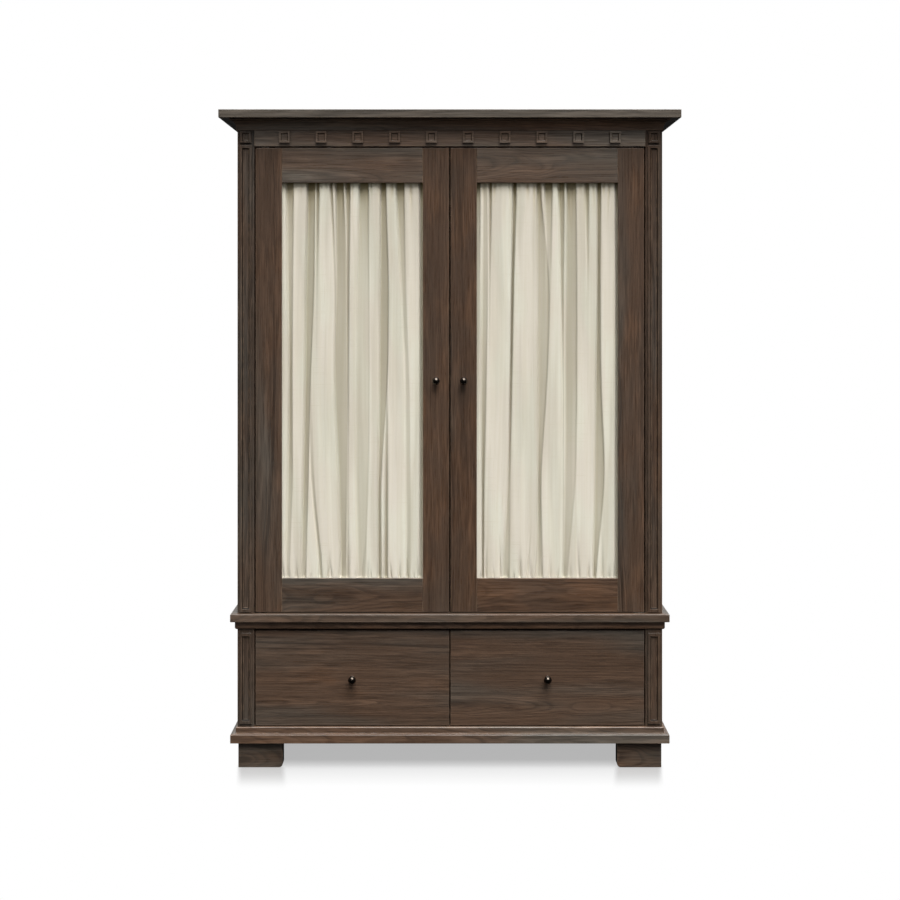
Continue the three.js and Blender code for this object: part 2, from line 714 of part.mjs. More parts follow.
// A row of dovetails in (y, z), from their roots to their wider tips, as one or more solids.
function dovetails(spanX, root, tip, [z0, z1], count, by = 0) {
  const pitch = (z1 - z0) / count;
  const half = (pitch * dovetail.share) / 2 + by;
  const lengthwise = Math.sign(tip - root);
  const tails = Array.from({ length: count }, (_, i) => {
    const z = z0 + (i + 0.5) * pitch;
    const wide = half + dovetail.flare;
    const outline = [
      new THREE.Vector2(root - lengthwise, z - half),
      new THREE.Vector2(root, z - half),
      new THREE.Vector2(tip + lengthwise * by, z - wide),
      new THREE.Vector2(tip + lengthwise * by, z + wide),
      new THREE.Vector2(root, z + half),
      new THREE.Vector2(root - lengthwise, z + half),
    ];
    return sweepAlongX(outline, grown(spanX, by));
  });
  return tails.reduce((rest, tail) => rest.add(tail));
}

// The front is lapped over the sides' dovetails, and at the back they run right through.
function drawerPieces(side) {
  const name = `${sideName(side)}_drawer`;
  const frontX = [-doorWidth / 2, doorWidth / 2];
  const frontY = [0, drawer.frontThickness];
  const sideZ = [drawerGap.floor - drawerGap.bottom, drawerHeight - drawer.sideDrop];
  const bottomZ = [drawerBottom.above, drawerBottom.above + drawerBottom.thickness];
  const backZ = [bottomZ[1] + seat, sideZ[1] - drawerBack.drop];
  const backBoardY = [drawerLength - drawerBack.thickness, drawerLength];
  const walls = {
    side_outer: [boxX[1] - drawer.sideThickness, boxX[1]],
    side_inner: [boxX[0], boxX[0] + drawer.sideThickness],
  };
  const tailsAt = (spanX, by) => [
    dovetails(spanX, frontY[1] + seat, dovetail.lip + seat, sideZ, dovetail.front, by),
    dovetails(spanX, backBoardY[0] - seat, drawerLength, backZ, dovetail.back, by),
  ];
  const insideX = [walls.side_inner[1], walls.side_outer[0]];
  const bottomX = outwards(side, ...grown(insideX, drawerBottom.groove));
  const groove = block(grown(bottomX, seat), [frontY[1] - drawerBottom.groove - seat, drawerLength + 1], [
    bottomZ[0] - seat,
    bottomZ[1] + seat,
  ]);

  const sides = Object.entries(walls).map(([wall, span]) => {
    const spanX = outwards(side, ...span);
    const board = block(spanX, [frontY[1] + seat, backBoardY[0] - seat], sideZ);
    const body = tailsAt(spanX, 0).reduce((rest, tails) => rest.add(tails), board);
    return piece(`${name}_${wall}`, body.subtract(groove), "drawerWood");
  });

  const sockets = Object.values(walls).map((span) => tailsAt(outwards(side, ...span), seat));
  const knobZ = drawerHeight / 2 - drawerKnobDrop;
  const frontBody = [groove, studBore(0, 0, knobZ), ...sockets.map((pair) => pair[0])].reduce(
    (rest, cut) => rest.subtract(cut),
    block(frontX, frontY, [0, drawerHeight]),
  );
  const backBody = sockets
    .map((pair) => pair[1])
    .reduce((rest, cut) => rest.subtract(cut), block(outwards(side, ...boxX), backBoardY, backZ));
  const bottomBody = block(bottomX, [frontY[1] - drawerBottom.groove, drawerLength], bottomZ);

  return [
    piece(`${name}_front`, frontBody, "oak"),
    ...sides,
    piece(`${name}_back`, backBody, "drawerWood"),
    piece(`${name}_bottom`, bottomBody, "drawerWood"),
    turnedKnob(`${name}_knob`, 0, 0, knobZ),
  ];
}

const drawerGroup = (side) =>
  groupAt(side * drawerCentre, faceY + frontInset, lowerZ + drawerGap.bottom, drawerPieces(side));

// ---------------------------------------------------------------- armoire

const armoire = new THREE.Group();
armoire.add(
  base(),
  lowerCase(),
  ...waist(),
  upperCase(),
  ...top(),
  ...bothSides(doorGroup),
  ...bothSides(drawerGroup),
);

export default armoire;
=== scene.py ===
"""Looks of the armoire: stained oak boards, gathered linen curtains on their rods, bronze knobs and fittings.

Metres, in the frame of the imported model: the front faces -Y, and "left" and "right" are as seen from there.
"""
import json
import math
import random

import bmesh
import bpy
import numpy as np
from bpy.props import FloatProperty, FloatVectorProperty, PointerProperty
from mathutils import Matrix, Vector

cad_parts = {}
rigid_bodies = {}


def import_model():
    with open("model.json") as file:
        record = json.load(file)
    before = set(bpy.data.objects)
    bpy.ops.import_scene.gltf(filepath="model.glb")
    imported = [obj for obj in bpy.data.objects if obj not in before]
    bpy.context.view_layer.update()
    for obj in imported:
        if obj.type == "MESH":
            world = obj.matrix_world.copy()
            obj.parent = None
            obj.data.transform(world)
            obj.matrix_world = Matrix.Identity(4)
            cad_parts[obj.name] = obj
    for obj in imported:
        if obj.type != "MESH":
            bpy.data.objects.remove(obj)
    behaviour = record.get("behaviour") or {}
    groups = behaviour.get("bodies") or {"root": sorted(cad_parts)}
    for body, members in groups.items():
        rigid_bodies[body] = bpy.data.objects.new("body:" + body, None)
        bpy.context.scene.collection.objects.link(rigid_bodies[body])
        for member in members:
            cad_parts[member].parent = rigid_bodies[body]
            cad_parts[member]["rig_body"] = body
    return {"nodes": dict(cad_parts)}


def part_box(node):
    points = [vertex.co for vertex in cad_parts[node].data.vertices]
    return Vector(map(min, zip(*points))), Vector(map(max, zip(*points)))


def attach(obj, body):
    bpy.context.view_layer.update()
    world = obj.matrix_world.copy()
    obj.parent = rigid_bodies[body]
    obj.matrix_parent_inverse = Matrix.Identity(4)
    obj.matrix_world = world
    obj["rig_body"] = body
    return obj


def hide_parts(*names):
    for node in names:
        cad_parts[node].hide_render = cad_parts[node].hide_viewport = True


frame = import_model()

bl_info = {
    "name": "Armoire with Curtained Doors",
    "version": (1, 0, 0),
    "blender": (4, 5, 0),
    "location": "View3D > Sidebar > Armoire",
    "description": "Finishes the boards, curtains and fittings of a stained oak armoire",
    "category": "Object",
}

SIDES = ("left", "right")
ENDS = ("bottom", "top")
X, Y, Z = range(3)
AXES = [Vector(row) for row in Matrix.Identity(3)]


# ---------------------------------------------------------------- settings


def linear(tint):
    """The linear values of a colour written as sRGB hex."""
    parts = (int(tint[i : i + 2], 16) / 255 for i in (1, 3, 5))
    return tuple(c / 12.92 if c <= 0.04045 else ((c + 0.055) / 1.055) ** 2.4 for c in parts)


def colour(name, tint, description):
    values = {"default": linear(tint), "subtype": "COLOR", "size": 3, "min": 0, "max": 1}
    return FloatVectorProperty(name=name, description=description, **values)


def length(name, default, description):
    values = {"default": default, "min": 0, "unit": "LENGTH", "precision": 4}
    return FloatProperty(name=name, description=description, **values)


def share(name, default, description, high=1.0):
    values = {"default": default, "min": 0, "max": high, "subtype": "FACTOR"}
    return FloatProperty(name=name, description=description, **values)


class StainedOak(bpy.types.PropertyGroup):
    latewood: colour("Latewood", "#513f32", "The smooth, dense wood of each ring")
    earlywood: colour("Earlywood", "#2b1e16", "The open pores of each ring, where the stain gathers")
    warm: colour("Warm streaks", "#583e2b", "Streaks where the wood shows through red-brown")
    cool: colour("Cool streaks", "#4b463f", "Streaks where the stain lies grey")
    # The eased edges are lighter: stain rubbed thin, and a painted highlight along them.
    worn: colour("Rubbed and highlit edges", "#7a6654", "Edges where the stain has rubbed thin, with a painted highlight along them")
    ring: length("Ring width", 0.0028, "Distance from one growth ring to the next")


class PlainOak(bpy.types.PropertyGroup):
    latewood: colour("Latewood", "#a98c68", "The smooth, dense wood of each ring")
    earlywood: colour("Earlywood", "#7d6144", "The open pores of each ring")
    warm: colour("Warm streaks", "#a98058", "Streaks of redder wood")
    cool: colour("Cool streaks", "#9b8868", "Streaks of paler wood")
    # The eased edges are lighter: stain rubbed thin, and a painted highlight along them.
    worn: colour("Rubbed and highlit edges", "#b69b78", "Edges that handling has polished, with a painted highlight along them")
    ring: length("Ring width", 0.0032, "Distance from one growth ring to the next")


class Linen(bpy.types.PropertyGroup):
    cloth: colour("Cloth", "#d3cbbe", "The linen itself")
    # The tint that the cloth is painted where it lies back in its folds: painted shade.
    single: colour("Painted fold shade", "#968f79", "Painted shade where the cloth lies back in its folds")
    green: colour("Cool cloth", "#d5d4c5", "Broad places where the cloth looks greener")
    slub: colour("Slubs", "#c3baa2", "Thicker, darker threads in the weave")
    thread: colour("Sewing thread", "#cfc6ae", "The thread of the seams")
    pitch: length("Thread pitch", 0.00062, "Distance from one thread to the next")
    thickness: length("Thickness", 0.0007, "Thickness of the cloth")
    seam: length("Seam", 0.008, "From the middle of a rod to the seam that holds its pocket")
    hem: length("Turned edge", 0.0035, "From the seam to the edge of the turned-in cloth")
    stitch: length("Stitch", 0.0028, "Distance from one stitch to the next")


class Metals(bpy.types.PropertyGroup):
    bronze: colour("Bronze", "#4a433d", "Dark patina of the knobs and fittings")
    rubbed: colour("Rubbed bronze", "#706860", "Where fingers have rubbed the patina")
    steel: colour("Steel", "#b9b6b0", "The hanging rail")


class Boards(bpy.types.PropertyGroup):
    edge: length("Board edges", 0.0011, "Softening of the edges of plain boards")
    fine_edge: length("Carved edges", 0.0006, "Softening of the edges of carved and jointed pieces")


class Studio(bpy.types.PropertyGroup):
    lens: FloatProperty(name="Lens", description="Focal length", default=61.2, min=10, unit="CAMERA")
    distance: length("Camera distance", 4.4545, "From the middle of the armoire to the camera")
    height: length("Camera height", 1.2877, "Height of the camera over the floor")
    shift: FloatProperty(name="Vertical shift", description="Shift of the lens", default=-0.1683)
    key: share("Key", 4.5, "Strength of the large lamp above, in front and to the right", 20)
    overhead: share("Overhead", 3.4, "Strength of the lamp straight above", 20)
    front: share("Front", 0.75, "Strength of the broad lamp in front", 20)
    fill: share("Fill", 0.14, "Strength of the lamp from the left", 20)
    back: share("Back", 1.1, "Strength of the lamp behind", 20)
    ambient: share("Ambient", 0.05, "Light from all round")
    floor: colour("Floor", "#e6e6e6", "The pale floor")


class ArmoireSettings(bpy.types.PropertyGroup):
    oak: PointerProperty(type=StainedOak, name="Stained oak")
    plain_oak: PointerProperty(type=PlainOak, name="Drawer boxes")
    linen: PointerProperty(type=Linen, name="Linen")
    metals: PointerProperty(type=Metals, name="Metals")
    boards: PointerProperty(type=Boards, name="Boards")
    studio: PointerProperty(type=Studio, name="Studio")


def settings():
    return bpy.context.scene.armoire


# ---------------------------------------------------------------- node trees

# In these trees a noise's scale is its cells to the metre, and ease() gives the two values between which a
# noise, a ring or a distance takes effect, and then the strengths it goes between.

class Nodes:
    """Short calls that build a node tree. Each returns the output socket of the node it makes."""

    per_row = 12
    spacing = (170, -190)

    def __init__(self, tree):
        self.tree = tree
        self.count = 0

    def add(self, kind, inputs=None, out=0, **values):
        node = self.tree.nodes.new(kind)
        row, column = divmod(self.count, self.per_row)
        node.location = (self.spacing[0] * column, self.spacing[1] * row)
        self.count += 1
        for key, value in values.items():
            setattr(node, key, value)
        self.fill(node, inputs or {})
        return node.outputs[out] if node.outputs else node

    def fill(self, node, values):
        """Links or sets inputs of a node."""
        for key, value in values.items():
            socket = node.inputs[key]
            if isinstance(value, bpy.types.NodeSocket):
                self.tree.links.new(value, socket)
            elif hasattr(value, "__len__") and len(value) == 3 and len(socket.default_value) == 4:
                socket.default_value = (*value, 1)
            else:
                socket.default_value = value

    def math(self, operation, a, b=0.0, c=0.0, clamp=False):
        return self.add("ShaderNodeMath", {0: a, 1: b, 2: c}, operation=operation, use_clamp=clamp)

    def product(self, first, *others):
        for other in others:
            first = self.math("MULTIPLY", first, other)
        return first

    def line(self, value, slope, start):
        """slope times value, plus start."""
        return self.math("MULTIPLY_ADD", value, slope, start)

    def vector(self, operation, a, b):
        return self.add("ShaderNodeVectorMath", {0: a, 1: b}, operation=operation)

    def parts(self, vector):
        """The X, Y and Z of a vector."""
        return self.add("ShaderNodeSeparateXYZ", {0: vector}).node.outputs[:]

    def joined(self, *values):
        """A vector of up to three values."""
        return self.add("ShaderNodeCombineXYZ", dict(enumerate(values)))

    def noise(self, vector, scale=1.0, detail=2.0, roughness=0.5, out=0):
        values = {"Vector": vector, "Scale": scale, "Detail": detail, "Roughness": roughness}
        return self.add("ShaderNodeTexNoise", values, out)

    def ease(self, value, low, high, start=0.0, end=1.0):
        """value's way from low to high, eased, as a way from start to end."""
        values = {"Value": value, "From Min": low, "From Max": high, "To Min": start, "To Max": end}
        return self.add("ShaderNodeMapRange", values, interpolation_type="SMOOTHSTEP")

    def mix(self, factor, a, b, blend="MIX"):
        return self.add(
            "ShaderNodeMix", {0: factor, 6: a, 7: b}, 2, data_type="RGBA", blend_type=blend, clamp_factor=True
        )

    def bump(self, height, distance, strength=1.0):
        return self.add("ShaderNodeBump", {"Height": height, "Distance": distance, "Strength": strength})

    def attribute(self, name, out="Vector"):
        return self.add("ShaderNodeAttribute", out=out, attribute_name=name)


def node_group(name, kind, inputs, outputs):
    """A new node group with its sockets, and its input and output nodes."""
    tree = bpy.data.node_groups.new(name, kind)
    for label, socket in inputs:
        tree.interface.new_socket(label, in_out="INPUT", socket_type=f"NodeSocket{socket}")
    for label, socket in outputs:
        tree.interface.new_socket(label, in_out="OUTPUT", socket_type=f"NodeSocket{socket}")
    nodes = Nodes(tree)
    given = nodes.add("NodeGroupInput").node.outputs
    return nodes, given, nodes.add("NodeGroupOutput")


def once(make):
    """Runs a maker the first time and hands out what it made after that."""
    kept = []

    def maker():
        if not kept:
            kept.append(make())
        return kept[0]

    return maker


SURFACE = [("Color", "Color"), ("Roughness", "Float"), ("Height", "Float")]
OAK_TINTS = ("Latewood", "Earlywood", "Warm", "Cool", "Worn")


@once
def oak_group():
    """Growth rings, pores, fibres and streaks, cut through at Place: X and Y across the log, Z along it."""
    inputs = [("Place", "Vector"), ("Ring width", "Float"), *((label, "Color") for label in OAK_TINTS)]
    inputs += [(label, "Float") for label in ("Tone", "Warmth", "Edge", "End grain")]
    n, given, result = node_group("Oak", "ShaderNodeTree", inputs, SURFACE)
    place = given["Place"]

    def along(across, lengthwise, detail=2.0, out=0):
        """Noise drawn out along the grain, from its cells to the metre across it and along it."""
        return n.noise(n.vector("MULTIPLY", place, (across, across, lengthwise)), detail=detail, out=out)

    def by_radius(scale, start, detail=2.0):
        """Uneven bands that follow the rings."""
        return n.noise(n.joined(n.line(radius, scale, start)), detail=detail)

    bent = place
    for across, lengthwise, detail, reach in ((3.2, 1.6, 2, 0.034), (14, 9, 1, 0.009), (26, 5, 1, 0.0042)):
        bend = n.vector("SUBTRACT", along(across, lengthwise, detail, out=1), (0.5, 0.5, 0.5))
        bent = n.vector("ADD", bent, n.vector("MULTIPLY", bend, (reach, reach, 0)))
    x, y, z = n.parts(bent)
    radius = n.math("SQRT", n.math("ADD", n.product(x, x), n.product(y, y)))
    taper = 0.016
    radius = n.line(z, taper, radius)
    rings = n.math("DIVIDE", radius, given["Ring width"])
    ring = n.math("FRACT", n.line(by_radius(48.0, 0.0, 1.0), 3.2, rings))
    early = n.math("MAXIMUM", n.ease(ring, 0.0, 0.5, 1.0, 0.0), n.ease(ring, 0.88, 1.0))
    bands = n.ease(by_radius(190.0, 3.0), 0.32, 0.68, 0.84, 1.15)
    mark = by_radius(64.0, 11.0)
    marked = n.product(n.ease(mark, 0.55, 0.58), n.ease(mark, 0.58, 0.66, 0.9, 0.0))
    pores = n.product(n.ease(along(1300, 55, 1), 0.53, 0.66), n.line(early, 0.75, 0.25))
    fibres = along(430, 9, 3)
    streaks = along(44, 1.1, 3)
    patches = along(9, 1.4)
    lines = along(165, 13)
    clouds = along(15, 7, 3)

    tint = given["Latewood"]
    for mask, strength in (
        (early, n.ease(patches, 0.3, 0.7, 0.25, 0.7)),
        (pores, 0.75),
        (marked, n.ease(patches, 0.35, 0.6)),
    ):
        tint = n.mix(n.product(mask, strength), tint, given["Earlywood"])
    ruddy = n.line(clouds, 0.75, n.product(streaks, 0.25))
    warm = n.ease(n.math("ADD", ruddy, given["Warmth"]), 0.44, 0.68, 0.0, 0.45)
    tint = n.mix(warm, tint, given["Warm"])
    cool = n.ease(n.math("SUBTRACT", patches, given["Warmth"]), 0.46, 0.76, 0.0, 0.85)
    tint = n.mix(cool, tint, given["Cool"])
    lit = n.ease(lines, 0.36, 0.64, 0.82, 1.22)
    lit = n.mix(n.ease(clouds, 0.36, 0.56), (1, 1, 1), n.joined(lit, lit, lit))
    shade = n.product(n.ease(fibres, 0.25, 0.75, 0.84, 1.16), n.ease(streaks, 0.28, 0.72, 0.86, 1.14))
    shade = n.product(shade, bands, n.product(lit, given["Tone"]), n.line(given["End grain"], -0.62, 1.0))
    tint = n.mix(1.0, tint, n.joined(shade, shade, shade), "MULTIPLY")
    # Lighter eased edges: stain rubbed thin, and a painted highlight along them.
    rubbed = n.product(given["Edge"], n.ease(n.noise(place, 46.0), 0.4, 0.66, 0.15, 0.75))
    tint = n.mix(rubbed, tint, given["Worn"])

    rough = n.math("ADD", n.ease(fibres, 0.3, 0.7, 0.26, 0.35), n.product(pores, 0.22))
    rough = n.math("SUBTRACT", rough, n.product(rubbed, 0.12))
    rough = n.line(given["End grain"], 0.7, rough)
    height = n.math("SUBTRACT", n.product(fibres, 0.3), n.product(early, 0.25))
    height = n.math("SUBTRACT", height, pores)
    n.fill(result, {"Color": tint, "Roughness": rough, "Height": height})
    return n.tree


@once
def weave_group():
    """Plain weave with slubs. Place is metres along the weft (X) and along the warp (Y). The cloth is also
    darkened by painted shade where it lies back in its folds, in creases and in the gathers under the door's
    top rail.
    """
    inputs = [("Place", "Vector"), ("Pitch", "Float")]
    inputs += [(label, "Color") for label in ("Cloth", "Slub", "Cool", "Thin")]
    inputs += [(label, "Float") for label in ("Fold shade", "Crease shade", "Deep")]
    n, given, result = node_group("Plain weave", "ShaderNodeTree", inputs, SURFACE)
    wavy = n.vector("SUBTRACT", n.noise(given["Place"], 60.0, out=1), (0.5, 0.5, 0.5))
    place = n.vector("ADD", given["Place"], n.vector("MULTIPLY", wavy, (0.0012, 0.0012, 0)))
    u, v = (n.math("DIVIDE", way, given["Pitch"]) for way in n.parts(place)[:2])

    def thread(side, other, turn):
        """Height of one set of threads: round across, and over and under the other set."""
        round_top = n.math("ABSOLUTE", n.math("SINE", n.product(side, math.pi)))
        parity = n.math("ADD", n.math("FLOOR", side), turn)
        over = n.math("SINE", n.product(n.math("ADD", other, parity), math.pi))
        return n.product(round_top, n.line(over, 0.5, 0.5))

    def stretched(across, lengthwise, detail=1.5):
        """Noise from its cells to the metre along the weft and along the warp."""
        return n.noise(n.vector("MULTIPLY", given["Place"], (across, lengthwise, 0)), detail=detail)

    weave = n.math("MAXIMUM", thread(u, v, 0.5), thread(v, u, 1.5))
    slub = n.math("MAXIMUM", n.ease(stretched(520, 9), 0.56, 0.76), n.ease(stretched(11, 620), 0.58, 0.76))
    broad = n.ease(stretched(150, 2.2), 0.35, 0.7, 0.0, 0.3)
    gaps = n.ease(weave, 0.0, 0.5, 0.32, 0.0)
    tint = n.mix(n.ease(stretched(13, 3.5, 1.0), 0.42, 0.62, 0.15, 0.75), given["Cloth"], given["Cool"])
    tint = n.mix(n.math("MAXIMUM", n.product(slub, 0.55), broad), tint, given["Slub"])
    tint = n.mix(gaps, tint, given["Slub"])
    tint = n.mix(n.ease(stretched(28, 1.5), 0.4, 0.62), tint, (0.88, 0.875, 0.86), "MULTIPLY")
    # Painted shade: darker tints where the cloth lies back in its folds, in narrow creases, and in the
    # gathers under the door's top rail.
    tint = n.mix(given["Fold shade"], tint, given["Thin"])
    tint = n.mix(given["Crease shade"], tint, (0.16, 0.125, 0.06), "MULTIPLY")
    tint = n.mix(given["Deep"], tint, (0.74, 0.63, 0.36), "MULTIPLY")
    height = n.math("ADD", weave, n.product(slub, 0.9))
    rough = n.ease(weave, 0.0, 1.0, 0.97, 0.86)
    n.fill(result, {"Color": tint, "Roughness": rough, "Height": height})
    return n.tree


@once
def rubbed_group():
    """Uneven finish of metal: a mask of rubbed places, roughness, and the height of fine marks."""
    inputs = [("Place", "Vector"), ("Marks", "Vector"), ("Roughness", "Float")]
    outputs = [("Rubbed", "Float"), ("Roughness", "Float"), ("Height", "Float")]
    n, given, result = node_group("Rubbed metal", "ShaderNodeTree", inputs, outputs)
    cloudy = n.noise(given["Place"], 140.0, 4.0, 0.6)
    fine = n.noise(n.vector("MULTIPLY", given["Place"], given["Marks"]))
    rubbed = n.ease(cloudy, 0.44, 0.66)
    rough = n.math("ADD", given["Roughness"], n.ease(cloudy, 0.3, 0.7, 0.09, -0.07))
    rough = n.math("ADD", rough, n.ease(fine, 0.3, 0.7, -0.04, 0.05))
    n.fill(result, {"Rubbed": rubbed, "Roughness": rough, "Height": fine})
    return n.tree


def new_material(name):
    """A material with its shader, and the calls that build the rest of its tree."""
    material = bpy.data.materials.new(name)
    material.use_nodes = True
    shader = material.node_tree.nodes["Principled BSDF"]
    return material, Nodes(material.node_tree), shader


def placed_group(n, group, values):
    """Places a group in a tree and returns its outputs."""
    return n.add("ShaderNodeGroup", values, node_tree=group()).node.outputs


def surface(n, shader, tint, group, relief, strength, values):
    """Gives a shader its colour, the roughness and height of a group, and further values."""
    bump = n.bump(group["Height"], relief, strength)
    n.fill(shader, {"Base Color": tint, "Roughness": group["Roughness"], "Normal": bump, **values})


def wood(name, tints, relief, specular):
    material, n, shader = new_material(name)
    tone, warmth, edge = n.parts(n.attribute("board"))
    values = {"Place": n.attribute("grain"), "Ring width": tints.ring, "Tone": tone, "Warmth": warmth}
    values |= {"Edge": edge, "End grain": n.attribute("end_grain", "Fac")}
    values |= {label: getattr(tints, label.lower())[:] for label in OAK_TINTS}
    grain = placed_group(n, oak_group, values)
    surface(n, shader, grain["Color"], grain, relief, 0.7, {"Specular IOR Level": specular})
    return material


@once
def stained_oak():
    return wood("Stained oak", settings().oak, 0.00014, 0.4)


@once
def drawer_box_wood():
    return wood("Sealed oak", settings().plain_oak, 0.0001, 0.35)


@once
def curtain_linen():
    linen = settings().linen
    material, n, shader = new_material("Curtain linen")
    # The painted shade of the folds, the creases and the gathers under the door's top rail.
    single, crease_shade, deep = n.parts(n.attribute("fold"))
    values = {"Place": n.add("ShaderNodeUVMap", uv_map="Cloth"), "Pitch": linen.pitch}
    values |= {"Cloth": linen.cloth[:], "Slub": linen.slub[:], "Cool": linen.green[:]}
    values |= {"Thin": linen.single[:], "Fold shade": single, "Crease shade": crease_shade, "Deep": deep}
    weave = placed_group(n, weave_group, values)
    nap = {"Specular IOR Level": 0.15, "Sheen Weight": 0.12, "Sheen Roughness": 0.5}
    surface(n, shader, weave["Color"], weave, 0.00012, 0.55, nap)
    return material


@once
def sewing_thread():
    material, n, shader = new_material("Sewing thread")
    twist = n.noise(n.add("ShaderNodeTexCoord", out="Object"), 2600.0, 1.0)
    cream = settings().linen.thread[:]
    tint = n.mix(n.ease(twist, 0.4, 0.6), cream, [c * 0.8 for c in cream])
    n.fill(shader, {"Base Color": tint, "Normal": n.bump(twist, 0.00008, 0.6), "Roughness": 0.7})
    return material


def metal(name, base, rubbed, roughness, marks, relief):
    material, n, shader = new_material(name)
    place = n.add("ShaderNodeTexCoord", out="Object")
    finish = placed_group(n, rubbed_group, {"Place": place, "Marks": marks, "Roughness": roughness})
    tint = n.mix(n.product(finish["Rubbed"], 0.6), base, rubbed)
    surface(n, shader, tint, finish, relief, 0.5, {"Metallic": 1.0})
    return material


@once
def dark_bronze():
    tints = settings().metals
    return metal("Dark bronze", tints.bronze[:], tints.rubbed[:], 0.2, (900, 900, 900), 0.00003)


@once
def steel():
    grey = settings().metals.steel[:]
    return metal("Satin steel", grey, [c * 0.86 for c in grey], 0.3, (14, 2600, 2600), 0.00002)


SLOTS = {
    "stained_oak": stained_oak,
    "drawer_box_wood": drawer_box_wood,
    "curtain_linen": curtain_linen,
    "dark_bronze": dark_bronze,
    "steel": steel,
}


# ---------------------------------------------------------------- pieces


def linked(name, mesh):
    """A new object in the scene."""
    obj = bpy.data.objects.new(name, mesh)
    bpy.context.scene.collection.objects.link(obj)
    return obj


def mesh_of(shape, name):
    """A new mesh of a shape, which is freed."""
    mesh = bpy.data.meshes.new(name)
    shape.to_mesh(mesh)
    shape.free()
    return mesh


def new_piece(name, mesh, slot, node):
    """Links a mesh that is already in place, with its material, and ties it to its node and body."""
    mesh.materials.clear()
    mesh.materials.append(SLOTS[slot]())
    piece = linked(name, mesh)
    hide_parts(node)
    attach(piece, frame["nodes"][node]["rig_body"])
    return piece


def evaluated_copy(obj):
    """The object's mesh with its modifiers applied. The object itself is removed."""
    graph = bpy.context.evaluated_depsgraph_get()
    mesh = bpy.data.meshes.new_from_object(obj.evaluated_get(graph))
    bpy.data.objects.remove(obj)
    return mesh


def middle_of(node):
    low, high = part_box(node)
    return (low + high) / 2


def pad_cuts(node, gap=0.035):
    """Planes through the middles of the carved pads of a board, so that no face goes round a pad. The pads
    lie at least the gap apart."""
    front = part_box(node)[0].y + 1e-5
    edges = sorted(v.co.x for v in frame["nodes"][node].data.vertices if v.co.y < front)
    pads = [[edges[0], edges[0]]]
    for x in edges:
        if x - pads[-1][1] > gap:
            pads.append([x, x])
        pads[-1][1] = x
    return [(Vector(((a + b) / 2, 0, 0)), AXES[X]) for a, b in pads]


def bore_cuts(side, stile):
    """Planes through the middles of a stile's bores, so that no face goes round a bore."""
    door = f"{side}_door"
    bored = [(f"{door}_{end}_rod", Z) for end in ENDS]
    if stile == "hinge":
        bored += [(f"pivot_{end}_{side}", X) for end in ENDS]
    else:
        bored.append((f"{door}_knob", Z))
    return [(middle_of(node), AXES[axis]) for node, axis in bored]


def part_along(shape, cuts):
    """Cuts a shape's faces along planes, and marks the cuts as seams."""
    for point, normal in cuts:
        parts = [*shape.verts, *shape.edges, *shape.faces]
        made = bmesh.ops.bisect_plane(shape, geom=parts, plane_co=point, plane_no=normal, dist=1e-6)
        for item in made["geom_cut"]:
            if isinstance(item, bmesh.types.BMEdge):
                item.seam = True


def softened(node, width, cuts=()):
    """A merged copy of a node's mesh, parted along the cuts, with its edges eased. The faces of the eased
    edges have material index 1."""
    flat_within, sharp_over = 0.008, math.radians(34)
    shape = bmesh.new()
    shape.from_mesh(frame["nodes"][node].data)
    bmesh.ops.remove_doubles(shape, verts=shape.verts, dist=2e-6)
    part_along(shape, cuts)
    flat = {"verts": shape.verts, "edges": shape.edges, "delimit": {"SEAM"}}
    bmesh.ops.dissolve_limit(shape, angle_limit=flat_within, **flat)
    for face in shape.faces:
        face.material_index = 0
        face.smooth = True
    copy = linked(node, mesh_of(shape, node))
    for _ in range(2):
        copy.data.materials.append(None)
    ease = copy.modifiers.new("Eased edges", "BEVEL")
    ease.width, ease.segments = width, 2
    ease.limit_method, ease.angle_limit = "ANGLE", sharp_over
    ease.material, ease.use_clamp_overlap, ease.miter_outer = 1, False, "MITER_ARC"
    weigh = copy.modifiers.new("Flat faces", "WEIGHTED_NORMAL")
    weigh.keep_sharp = True
    return evaluated_copy(copy)


def eased_way(value, low, high):
    """0 below low, 1 above high, and an eased way between them."""
    way = np.clip((value - low) / (high - low), 0, 1)
    return way * way * (3 - 2 * way)


HEARTS = {  # how far the log's heart lies across and behind a board's middle
    "plain": ((0.0, 0.035), (0.05, 0.11)),
    "rift": ((0.08, 0.15), (0.06, 0.13)),
    "slab": ((0.062, 0.078), (0.022, 0.034)),
}


LOG_START = 40  # how far along its log a board starts, at most, either way
LOG_TONE = (0.93, 1.06)
LOG_WARMTH = (-0.05, 0.05)
END_GRAIN = (0.3, 0.7)  # how far a face looks along the grain where end grain begins, and where it is full
CARVED_DEPTH = 0.012  # of the pads and flutes
CARVED_MARGIN = 0.0063  # from a carved board's edges to its carving
CARVING_WALL_SHADE = 0.45  # of the walls of the carving: painted shade in its recesses
